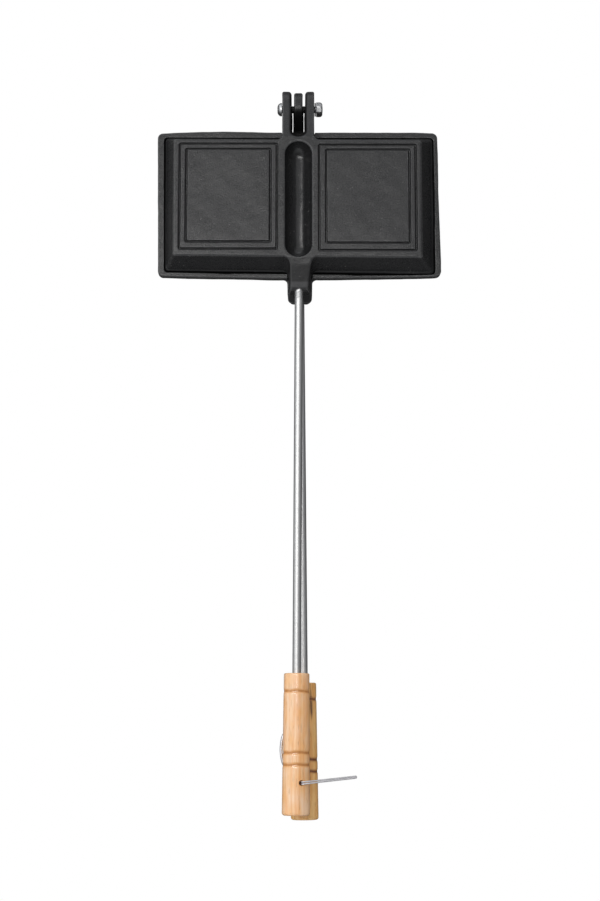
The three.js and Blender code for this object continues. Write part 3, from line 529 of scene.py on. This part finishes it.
def steel(name, base, dark, rough, streaks, blotch=0.0, bump=0.25, axis=(1.0, 0.02, 1.0), grime=False):
    t = Tree(name)
    p = t.coords()
    line = t.noise(t.scaled(p, axis), streaks, 3, 0.6)
    cloud = t.noise(p, 120, 3, 0.6)
    tone = t.mix(t.ramp(line, [(0.3, 0.0), (0.7, 1.0)]), dark, base)
    tone = t.mix(t.math("MULTIPLY", t.ramp(cloud, [(0.45, 0.0), (0.75, 1.0)]), blotch), tone, tuple(0.62 * c for c in dark))
    r = t.math("ADD", t.math("MULTIPLY", line, 0.10), t.math("MULTIPLY", cloud, 0.08))
    r = t.math("ADD", r, rough - 0.09)
    b = t.add("Bump", Strength=bump, Distance=0.00004, Height=line).outputs[0]
    if not grime:
        return t.done(Base_Color=tone, Metallic=1.0, Roughness=r, Normal=b)
    # painted shade: on the shaded parts the metal is painted near black, less metallic and rougher
    soot = t.attribute("grime")
    tone = t.mix(soot, tone, (0.012, 0.012, 0.012))
    return t.done(Base_Color=tone, Metallic=t.math("SUBTRACT", 1.0, soot), Roughness=t.math("ADD", r, t.math("MULTIPLY", soot, 0.25)), Normal=b)


def wood(name, pale, warm, line_dark, burn_in, burn_out, seed, gloss=0.30):
    t = Tree(name)
    g = t.attribute("gpos", 1)
    g = t.add("VectorMath", {"operation": "ADD"}, _0=g, _1=(seed, seed * 1.7, seed * 0.6)).outputs[0]
    sway = t.noise(t.scaled(g, (0.05, 0.012, 0.05)), 1.0, 2, 0.5)
    shift = t.add("CombineXYZ", X=t.math("MULTIPLY", sway, 9.0), Y=0.0, Z=t.math("MULTIPLY", sway, 5.0)).outputs[0]
    bent = t.add("VectorMath", {"operation": "ADD"}, _0=g, _1=shift).outputs[0]
    ring = t.noise(t.scaled(bent, (0.42, 0.010, 0.13)), 1.0, 3, 0.55)
    fibre = t.noise(t.scaled(bent, (2.3, 0.028, 2.3)), 1.0, 3, 0.6)
    fine = t.noise(t.scaled(g, (6.5, 0.10, 6.5)), 1.0, 2, 0.6)
    dash = t.noise(t.scaled(g, (1.9, 0.085, 1.9)), 1.0, 1, 0.4, 0.1)
    cloud = t.noise(t.scaled(g, (0.09, 0.045, 0.09)), 1.0, 2, 0.5)
    tone = t.mix(t.ramp(cloud, [(0.35, 0.0), (0.65, 1.0)]), pale, warm)
    tone = t.mix(t.math("MULTIPLY", t.ramp(ring, [(0.44, 0.0), (0.56, 1.0), (0.66, 0.35), (0.8, 0.0)]), 0.42), tone, warm, "MULTIPLY")
    tone = t.mix(t.math("MULTIPLY", t.ramp(fibre, [(0.42, 0.0), (0.72, 1.0)]), 0.38), tone, line_dark)
    tone = t.mix(t.math("MULTIPLY", t.ramp(fine, [(0.5, 0.0), (0.75, 1.0)]), 0.16), tone, line_dark)
    mark = t.ramp(dash, [(0.665, 0.0), (0.72, 1.0)])
    tone = t.mix(t.math("MULTIPLY", mark, 0.72), tone, tuple(0.62 * c for c in line_dark))
    knot = t.attribute("knot")
    knot = t.math("MULTIPLY", knot, t.math("ADD", t.math("MULTIPLY", fibre, 0.8), 0.55), clamp=True)
    tone = t.mix(knot, tone, (0.115, 0.045, 0.012))
    burn = t.attribute("burn")
    uneven_burn = t.math("MULTIPLY", burn, t.math("ADD", t.math("MULTIPLY", t.noise(t.scaled(g, (0.55, 0.5, 0.55)), 1.0, 2, 0.5), 0.8), 0.62), clamp=True)
    tone = t.mix(t.ramp(uneven_burn, [(0.0, 0.0), (0.45, 0.75), (1.0, 1.0)]), tone, t.mix(t.ramp(uneven_burn, [(0.5, 0.0), (1.0, 1.0)]), burn_out, burn_in))
    ends = t.attribute("grain_end")
    tone = t.mix(t.math("MULTIPLY", ends, 0.25), tone, line_dark)
    rough = t.math("ADD", t.math("MULTIPLY", fibre, 0.14), gloss)
    rough = t.math("ADD", rough, t.math("MULTIPLY", burn, 0.12))
    height = t.math("ADD", t.math("MULTIPLY", fibre, 0.5), t.math("MULTIPLY", fine, 0.3))
    height = t.math("SUBTRACT", height, t.math("MULTIPLY", mark, 0.6))
    bump = t.add("Bump", Strength=0.4, Distance=0.00012, Height=height).outputs[0]
    return t.done(Base_Color=tone, Roughness=rough, Normal=bump, Specular_IOR_Level=0.5, Coat_Weight=1.0, Coat_Roughness=0.10)


IRON = cast_iron()
BRIGHT = steel("drawn_steel", (0.60, 0.60, 0.597), (0.53, 0.53, 0.527), 0.50, 1500, 0.03, 0.08)
ZINC = steel("zinc_plate", (0.66, 0.665, 0.67), (0.50, 0.505, 0.51), 0.46, 700, 0.35, 0.15, (1.0, 1.0, 1.0))
BOLT = steel("zinc_bolt", (0.56, 0.565, 0.57), (0.40, 0.405, 0.41), 0.38, 700, 0.35, 0.15, (1.0, 1.0, 1.0), True)
NUT = steel("zinc_nut", (0.58, 0.585, 0.59), (0.42, 0.425, 0.43), 0.46, 700, 0.35, 0.15, (1.0, 1.0, 1.0), True)
# dark steel for the washer and the cross pins
DARK_STEEL = steel("dark_washer", (0.20, 0.20, 0.205), (0.10, 0.10, 0.105), 0.42, 700, 0.4, 0.4, (1.0, 1.0, 1.0))
GALV = steel("galvanised_wire", (0.70, 0.685, 0.705), (0.62, 0.61, 0.63), 0.46, 300, 0.05, 0.05, (1.0, 1.0, 1.0))
WOOD_UP = wood("grip_wood_upper", (0.85, 0.60, 0.40), (0.84, 0.48, 0.21), (0.58, 0.28, 0.09), (0.46, 0.185, 0.045), (0.66, 0.31, 0.095), 3.0)
WOOD_LOW = wood("grip_wood_lower", (0.86, 0.54, 0.21), (0.80, 0.45, 0.14), (0.52, 0.24, 0.055), (0.17, 0.058, 0.014), (0.40, 0.155, 0.036), 41.0)

# ------------------------------------------------------------------ castings
EDGE_X = [(-123.5, -91.0), (-25.0, -10.0), (-6.0, 6.0), (10.0, 25.0), (91.0, 124.0)]
EDGE_Y = [(-169.5, -121.5), (-49.5, -25.0), (-16.0, 16.0)]
field_piece("upper_half_casting", upper_casting,
            (lines(-115.6, 117.2, 0.62, 2.4, EDGE_X), lines(-165.5, 17.0, 0.62, 2.4, EDGE_Y), lines(-16.8, 26.2, 0.55, 1.2, [(-1, 5.2), (17.5, 26)], 0.2)),
            "upper_half", ["upper_casting"], IRON, extra=shade_light_and_oil_upper)
field_piece("lower_half_casting", lower_casting,
            (lines(-122.8, 123.6, 0.62, 2.4, EDGE_X), lines(-171.2, 16.0, 0.62, 2.4, EDGE_Y), lines(-26.2, 15.6, 0.55, 1.2, [(-26, -17.5), (-5.4, 5.4)], 0.2)),
            "lower_half", ["lower_casting"], IRON, extra=shade_and_oil_lower)


# ------------------------------------------------------------------ hinge bolt, washer, nut
def hinge_bolt(x, y, z):
    r = np.hypot(y, z)
    dome = [(0, -18.0)] + [(1.6 + 4.0 * math.sin(a), -14.6 - 3.4 * math.cos(a)) for a in np.linspace(0.02, math.pi / 2, 24)]
    head = polygon(r, x, [(-dome[-1][0], -14.0), (-dome[-1][0], -14.5)] + [(-u, v) for u, v in dome[:0:-1]] + dome[:] + [(5.6, -14.0)])
    turn = np.arctan2(z, y) / (2 * math.pi)
    saw = np.abs(((x - turn) % 1.0) - 0.5) * 2
    thread = np.where(x > 9.0, 0.34 * saw * np.clip((x - 9.0), 0, 1), 0.0)
    shank = both(both(r - 3.0 + thread, x - 20.9, 0.7), -15.0 - x, 0.1)
    s = join(both(head, -17.98 - x, 0.2), shank, 0.35)
    arm = lambda a, b: np.maximum(np.maximum(np.abs(a) - 2.6 + 0.5 * (x + 18.0), np.abs(b) - 0.6 + 0.12 * (x + 18.0)), x + 16.4)
    return cut(s, np.minimum(arm(y, z), arm(z, y)), 0.12)


def washer(x, y, z):
    r = np.hypot(y, z)
    return cut(both(r - 5.8, np.abs(x - 14.55) - 0.55, 0.28), r - 3.3, 0.15)


def nut(x, y, z):
    best = None
    for k in range(3):
        a = math.radians(21 + 30 + 60 * k)
        d = np.abs(y * math.cos(a) + z * math.sin(a)) - 5.6
        best = d if best is None else both(best, d, 0.3)
    r, w = np.hypot(y, z), np.abs(x - 18.1) - 2.7
    out = (np.hypot(np.maximum(r - 3.6, 0), np.maximum(x - 18.2, 0) * 1.02) - 2.7)
    cone = np.maximum((r - 6.2 + w * 1.2) * 0.64, out)
    return cut(both(both(best, w, 0.15), cone, 0.3), r - 3.3, 0.3)


def step(a, b, h):
    return np.linspace(a, b, max(3, int(round((b - a) / h)) + 1))


def shaded_shank(P):
    """how far a point lies inside the knuckle, where the bolt shank is painted dark: painted shade between the ears
    """
    return {"grime": np.clip((P[:, 0] + 13.6) / 0.5, 0, 1) * np.clip((14.6 - P[:, 0]) / 0.5, 0, 1)}


def shaded_nut(P):
    """painted shade on the flat that faces the plates, and where the nut sits on its washer"""
    x, y, z = P.T
    return {"grime": np.maximum(ease(-y, 3.0, 3.9) * 0.92, ease(15.9 - x, 0.0, 0.5) * 0.7)}


field_piece("hinge_bolt_m6", hinge_bolt, (step(-18.6, 21.5, 0.2), step(-6.1, 6.1, 0.21), step(-6.1, 6.1, 0.21)), "upper_half", ["hinge_bolt"], BOLT, extra=shaded_shank)
field_piece("hinge_collar_washer", washer, (step(13.6, 15.5, 0.14), step(-6.4, 6.4, 0.22), step(-6.4, 6.4, 0.22)), "upper_half", ["hinge_washer"], DARK_STEEL)
field_piece("hinge_hex_nut", nut, (step(15.0, 21.2, 0.2), step(-6.9, 6.9, 0.21), step(-6.9, 6.9, 0.21)), "upper_half", ["hinge_nut"], NUT, extra=shaded_nut)


# ------------------------------------------------------------------ rods and their cross pins
def turn_z(deg):
    a = math.radians(deg)
    return np.array([[math.cos(a), -math.sin(a), 0], [math.sin(a), math.cos(a), 0], [0, 0, 1]])


def rod_piece(name, rod, z, grip_y, body, nodes, rings=()):
    y0, y1 = grip_y - ROD_IN_GRIP, ROD_START
    length = (y1 - y0) / math.cos(math.radians(rod[1]))
    pin = (PIN_Y - y1) / math.cos(math.radians(rod[1]))

    def f(x, y, zz):
        s = both(np.hypot(x, zz) - ROD_R, np.maximum(y, -length - y), 0.5)
        for g in rings:
            s = cut(s, np.hypot(np.hypot(x, zz) - ROD_R - 0.18, y - g) - 0.42, 0.3)
        return cut(s, np.hypot(x, y - pin) - 1.7, 0.2)

    ys = lines(-length - 0.8, 0.8, 0.4, 9.0, [(-length - 0.8, -length + 0.6), (pin - 2.4, pin + 2.4), (-0.9, 0.8)] + [(g - 0.9, g + 0.9) for g in rings], 0.5)
    n = step(-3.9, 3.9, 0.36)
    field_piece(name, f, (n, ys, n), body, nodes, BRIGHT, turn_z(rod[1]), np.array([leaning(y1, rod), y1, z]))


rod_piece("upper_steel_rod", UP_ROD, ROD_Z, UP_GRIP_Y, "upper_half", ["upper_rod"], (-25.2, -26.6, -28.0, -29.4))
rod_piece("lower_steel_rod", LOW_ROD, -ROD_Z, LOW_GRIP_Y, "lower_half", ["lower_rod"])


def pin_piece(name, rod, side, body, nodes):
    def f(x, y, z):
        return both(np.hypot(x, y) - PIN_R, np.maximum(z - 18.2, 2.2 - z + 0.05 * (x * x + y * y)), 0.3)

    n = step(-1.8, 1.8, 0.2)
    turn = np.diag([1.0, 1.0, 1.0]) if side > 0 else np.diag([1.0, -1.0, -1.0])
    field_piece(name, f, (n, n, step(1.8, 18.6, 0.3)), body, nodes, DARK_STEEL, turn, np.array([leaning(PIN_Y, rod), PIN_Y, 0.0]))


pin_piece("upper_rod_cross_pin", UP_ROD, 1, "upper_half", ["upper_rod_pin"])
pin_piece("lower_rod_cross_pin", LOW_ROD, -1, "lower_half", ["lower_rod_pin"])


# ------------------------------------------------------------------ grips, turned about Y from 0 down to -length
def grip_field(length, grooves, hole):
    def f(x, y, z):
        d = -y
        r = np.hypot(x, z)
        edge = np.minimum(GRIP_R0 + (GRIP_R1 - GRIP_R0) * d / GRIP_TAPER, GRIP_R1)
        side = r - edge
        for g in grooves:
            side = cut(side, np.hypot((r - edge - 1.15), (d - g) * 0.80) - 1.45, 0.8)
        s = both(side, -d, 1.3)
        s = both(s, d - length, 2.1)
        s = cut(s, both(r - 3.8, d - 74.0, 0.4), 0.5)
        return cut(s, hole(x, y, z), 0.35)

    return f


def cross_hole(x, y, z):
    t = math.radians(CROSS_TILT)
    u = x * math.cos(t) - z * math.sin(t)
    return np.hypot(u, y + CROSS_HOLE) - CROSS_R


def keeper_holes(x, y, z):
    return np.maximum(np.minimum(np.hypot(y - KEEP_Y0, z), np.hypot(y - KEEP_Y1, z)) - 1.5, np.maximum(x + 5.8, -30.0 - x))


def grip_marks(length, grooves, slant, knot_of):
    def extra(P):
        d, ang = -P[:, 1], np.arctan2(P[:, 0], P[:, 2])
        wob = 0.16 * np.sin(3 * ang + 1.1) + 0.10 * np.sin(5 * ang)
        burn = np.zeros(len(P))
        for g, w, k in zip(grooves, (1.0, 1.1, 1.05), slant):
            burn = np.maximum(burn, np.exp(-((np.abs(d - g - k * P[:, 0] + wob) / (1.35 * w)) ** 2.4)))
        r = np.hypot(P[:, 0], P[:, 2])
        ends = np.clip(np.maximum(d - (length - 0.9), 0.5 - d) / 0.6, 0, 1) * (r < GRIP_R0 + 0.4)
        return {"gpos": P, "burn": burn, "grain_end": ends, "knot": knot_of(d, ang)}

    return extra


def faint_knot(d, ang):
    return 0.0 * d


def side_knot(d, ang):
    # the dark resin streak near the front of the lower grip, right of its top
    a = np.degrees(ang)
    t = np.clip((d - 1.0) / 27.0, 0, 1)
    width = 7.5 * np.clip(1.0 - (2 * np.abs(t - 0.62)) ** 3, 0.12, 1)
    core = np.exp(-((((a - (32 + 5 * t)) / width)) ** 2))
    return core * np.clip((31 - d) / 6, 0, 1) * np.clip((d + 2) / 3, 0, 1) * np.where(d > 11, 1.0, 0.62)


def grip_lines(length, grooves, holes):
    spans = [(-length - 1.2, -length + 2.6), (-1.8, 1.0)] + [(h - 3.2, h + 3.2) for h in holes] + [(-g - 2.6, -g + 2.6) for g in grooves]
    return lines(-length - 1.2, 1.0, 0.5, 1.8, spans)


GN = step(-12.3, 12.3, 0.44)
UP_T, UP_O = turn_z(UP_ROD[1]), np.array([leaning(UP_GRIP_Y, UP_ROD), UP_GRIP_Y, ROD_Z])
LOW_T, LOW_O = turn_z(LOW_ROD[1]), np.array([leaning(LOW_GRIP_Y, LOW_ROD), LOW_GRIP_Y, -ROD_Z])
field_piece("upper_wooden_grip", grip_field(UP_GRIP_L, UP_GROOVES, cross_hole), (GN, grip_lines(UP_GRIP_L, UP_GROOVES, [-CROSS_HOLE]), GN),
            "upper_half", ["upper_grip"], WOOD_UP, UP_T, UP_O, grip_marks(UP_GRIP_L, UP_GROOVES, (0.03, 0, 0), faint_knot))
field_piece("lower_wooden_grip", grip_field(LOW_GRIP_L, LOW_GROOVES, keeper_holes), (GN, grip_lines(LOW_GRIP_L, LOW_GROOVES, [KEEP_Y0, KEEP_Y1]), GN),
            "lower_half", ["lower_grip"], WOOD_LOW, LOW_T, LOW_O, grip_marks(LOW_GRIP_L, LOW_GROOVES, (0, 0, 0), side_knot))


# ------------------------------------------------------------------ wires
def bends(chain, steps=8):
    """points of a chain with its corners rounded: each entry is x, y, z and a radius"""
    out = []
    for i, p in enumerate(chain):
        if len(p) < 4 or i in (0, len(chain) - 1):
            out.append(np.array(p[:3], float))
            continue
        c = np.array(p[:3], float)
        a, b = np.array(chain[i - 1][:3]) - c, np.array(chain[i + 1][:3]) - c
        a, b = a / np.linalg.norm(a), b / np.linalg.norm(b)
        half = math.acos(np.clip(a @ b, -1, 1)) / 2
        reach = p[3] / math.tan(half)
        m = c + (a + b) / np.linalg.norm(a + b) * (p[3] / math.sin(half))
        vs, ve = c + a * reach - m, c + b * reach - m
        w = math.acos(np.clip(vs @ ve / (np.linalg.norm(vs) * np.linalg.norm(ve)), -1, 1))
        for k in range(steps + 1):
            out.append(m + vs * math.sin((1 - k / steps) * w) / math.sin(w) + ve * math.sin(k / steps * w) / math.sin(w))
    return np.array(out)


def sweep(points, radius, sides=20, dome=0.35):
    """round wire along the points, with slightly rounded cut ends"""
    P = np.asarray(points, float)
    n = len(P)
    T = np.zeros_like(P)
    seg = np.diff(P, axis=0)
    seg /= np.linalg.norm(seg, axis=1)[:, None]
    T[0], T[-1] = seg[0], seg[-1]
    T[1:-1] = seg[1:] + seg[:-1]
    T /= np.linalg.norm(T, axis=1)[:, None]
    u = np.array([1.0, 0, 0]) if abs(T[0][0]) < 0.9 else np.array([0, 0, 1.0])
    u = u - T[0] * (u @ T[0])
    u /= np.linalg.norm(u)
    rows, t = [], T[0]
    for i in range(n):
        v = np.cross(t, T[i])
        if np.linalg.norm(v) > 1e-9:
            ang = math.atan2(np.linalg.norm(v), t @ T[i])
            u = np.array(Matrix.Rotation(ang, 3, Vector(v))) @ u
        u = u - T[i] * (u @ T[i])
        u /= np.linalg.norm(u)
        t = T[i]
        rows.append((P[i], u.copy(), np.cross(t, u), T[i], radius))
    first, last = rows[0], rows[-1]
    head = [(first[0] + first[3] * (radius * dome * (1 - math.cos(a))), first[1], first[2], first[3], radius * (1 - dome + dome * math.sin(a))) for a in (0.0, 0.5, 1.0)]
    tail = [(last[0] - last[3] * (radius * dome * (1 - math.cos(a))), last[1], last[2], last[3], radius * (1 - dome + dome * math.sin(a))) for a in (1.0, 0.5, 0.0)]
    rows = head + [(rows[0][0] + rows[0][3] * radius * dome, *rows[0][1:])] + rows[1:-1] + [(rows[-1][0] - rows[-1][3] * radius * dome, *rows[-1][1:])] + tail
    a = np.arange(sides) * 2 * math.pi / sides
    V = np.concatenate([c + np.outer(np.cos(a) * r, u) + np.outer(np.sin(a) * r, w) for c, u, w, _, r in rows])
    faces = []
    for i in range(len(rows) - 1):
        for k in range(sides):
            q = (k + 1) % sides
            faces.append((i * sides + k, i * sides + q, (i + 1) * sides + q, (i + 1) * sides + k))
    s, e = len(V), len(V) + 1
    V = np.vstack([V, rows[0][0], rows[-1][0]])
    tri = []
    for k in range(0, sides, 2):
        q, q2 = (k + 1) % sides, (k + 2) % sides
        tri.append((s, q2, q, k))
        b = (len(rows) - 1) * sides
        tri.append((e, b + k, b + q, b + q2))
    return V, np.array(faces + tri)


def wire_piece(name, points, radius, body, nodes, turn, to):
    V, F = sweep(points, radius)
    W, _ = place(V, V, turn, to)
    o = new_mesh(name, W, F)
    return piece(name, o, body, nodes, GALV)


def loop_points():
    top, low, h, e = GRIP_R1 + 1.9, -GRIP_R1 - 2.1, 0.86, 0.66
    arm = lambda x: top + (x - 2.2) * math.tan(math.radians(9))

    def side(s):
        return bends([(0, s * 5.2, low), (0, s * h, low, 1.1), (0, s * h, arm(0) - 0.25, 1.6), (8, s * 0.78, arm(8)), (16, s * 0.72, arm(16)), (30, s * 0.67, arm(30)),
                      (LOOP_REACH - e, s * e, arm(LOOP_REACH - e))], 10)

    tip = [(LOOP_REACH - e + e * math.sin(a), -e * math.cos(a), arm(LOOP_REACH - e + e * math.sin(a))) for a in np.linspace(0, math.pi, 12)[1:-1]]
    return np.vstack([side(-1), tip, side(1)[::-1]])


def keeper_points():
    mid = (KEEP_Y0 + KEEP_Y1) / 2
    half = (KEEP_Y0 - KEEP_Y1) / 2
    pts = [(-6.2, KEEP_Y0, 0), (-11.0, KEEP_Y0, 0), (-13.0, KEEP_Y0, 0)]
    for a in np.linspace(-math.pi / 2, math.pi / 2, 31):
        # bow between the two holes, fuller than a circle arc
        c = abs(math.cos(a)) ** 0.6
        pts.append((-14.3 - 4.7 * c, mid - (half + 0.1) * math.sin(a) * (0.55 + 0.45 * abs(math.sin(a))), 0))
    pts += [(-13.0, KEEP_Y1, 0), (-11.0, KEEP_Y1, 0), (-6.2, KEEP_Y1, 0)]
    return np.array(pts)


_t = math.radians(CROSS_TILT)
TILT = np.array([[math.cos(_t), 0, math.sin(_t)], [0, 1, 0], [-math.sin(_t), 0, math.cos(_t)]])
wire_piece("latch_wire_loop", loop_points(), WIRE_R, "latch", ["latch_loop"], UP_T @ TILT @ turn_z(LOOP_SWING), UP_O + UP_T @ np.array([0, -CROSS_HOLE, 0.0]))

# ------------------------------------------------------------------ keeper on the lower grip
wire_piece("grip_keeper_wire", keeper_points(), KEEPER_R, "lower_half", ["grip_keeper"], LOW_T, LOW_O)


# ------------------------------------------------------------------ stage, light, camera
def stage():
    me = bpy.data.meshes.new("floor")
    s = 14.0
    me.from_pydata([(-s, -s, 0), (s, -s, 0), (s, s, 0), (-s, s, 0)], [], [(0, 1, 2, 3)])
    o = bpy.data.objects.new("floor", me)
    o.location = (0, 0, -0.0003)
    bpy.context.scene.collection.objects.link(o)
    # a lit white table top: it shows no shadow and no mirror image in the metal
    o.visible_glossy = False
    m = bpy.data.materials.new("pale_floor")
    m.use_nodes = True
    b = m.node_tree.nodes["Principled BSDF"]
    b.inputs["Base Color"].default_value = (0.0, 0.0, 0.0, 1)
    b.inputs["Roughness"].default_value = 1.0
    b.inputs["Specular IOR Level"].default_value = 0.0
    b.inputs["Emission Color"].default_value = (1, 1, 1, 1)
    b.inputs["Emission Strength"].default_value = 1.0
    me.materials.append(m)


def area(name, place_m, target, size, watts, colour=(1, 1, 1)):
    d = bpy.data.lights.new(name, "AREA")
    d.shape, d.size, d.size_y, d.energy, d.color = "RECTANGLE", size[0], size[1], watts, colour
    o = bpy.data.objects.new(name, d)
    o.location = place_m
    o.rotation_mode = "QUATERNION"
    o.rotation_quaternion = (Vector(target) - Vector(place_m)).to_track_quat("-Z", "Y")
    bpy.context.scene.collection.objects.link(o)


stage()
area("key_softbox", (-0.55, 0.3, 1.95), (0, 0.1, 0), (0.42, 1.7), 18.5, (1.0, 0.99, 0.975))
area("overhead_softbox", (-0.45, 0.9, 2.2), (-0.45, 0.9, 0), (2.9, 2.7), 21, (0.98, 0.99, 1.0))

# a bright room round the table, dark below it
world = bpy.data.worlds.new("studio")
bpy.context.scene.world = world
world.use_nodes = True
nodes, links = world.node_tree.nodes, world.node_tree.links
back = nodes["Background"]
way = nodes.new("ShaderNodeTexCoord")
split = nodes.new("ShaderNodeSeparateXYZ")
glow = nodes.new("ShaderNodeValToRGB")
side = nodes.new("ShaderNodeMapRange")
for k, v in enumerate((-0.9, 0.9, 1.6, 0.55)):
    side.inputs[k + 1].default_value = v
front = nodes.new("ShaderNodeMapRange")
for k, v in enumerate((-0.95, 0.0, 1.9, 1.0)):
    front.inputs[k + 1].default_value = v
rear = nodes.new("ShaderNodeMapRange")
for k, v in enumerate((0.3, 0.95, 1.0, 2.6)):
    rear.inputs[k + 1].default_value = v
both_ways = nodes.new("ShaderNodeMath")
both_ways.operation = "MULTIPLY"
all_ways = nodes.new("ShaderNodeMath")
all_ways.operation = "MULTIPLY"
links.new(way.outputs["Generated"], split.inputs[0])
links.new(split.outputs[2], glow.inputs[0])
links.new(split.outputs[0], side.inputs[0])
links.new(glow.outputs[0], back.inputs[0])
links.new(split.outputs[1], front.inputs[0])
links.new(side.outputs[0], both_ways.inputs[0])
links.new(front.outputs[0], both_ways.inputs[1])
links.new(split.outputs[1], rear.inputs[0])
links.new(both_ways.outputs[0], all_ways.inputs[0])
links.new(rear.outputs[0], all_ways.inputs[1])
links.new(all_ways.outputs[0], back.inputs[1])
stops = glow.color_ramp.elements
stops[0].position, stops[0].color = 0.0, (0.04, 0.04, 0.04, 1)
stops[1].position, stops[1].color = 0.06, (0.50, 0.51, 0.53, 1)
for where, c in ((0.55, (0.42, 0.43, 0.44, 1)), (0.85, (0.14, 0.14, 0.145, 1))):
    e = stops.new(where)
    e.color = c

view = bpy.context.scene.view_settings
view.view_transform, view.look, view.exposure, view.gamma = "Standard", "None", 0.0, 1.0

tilt = math.radians(8.5308)
look_at = Vector((0.0011546, -0.0039488, 0.0245))
cam = bpy.data.objects.new("camera", bpy.data.cameras.new("camera"))
bpy.context.scene.collection.objects.link(cam)
cam.data.sensor_width = 36
cam.data.lens = 72.388
cam.data.clip_start, cam.data.clip_end = 0.01, 50
cam.location = look_at + 1.51678 * Vector((0, -math.sin(tilt), math.cos(tilt)))
cam.rotation_mode = "XYZ"
cam.rotation_euler = (tilt, 0, 0)
bpy.context.scene.camera = cam
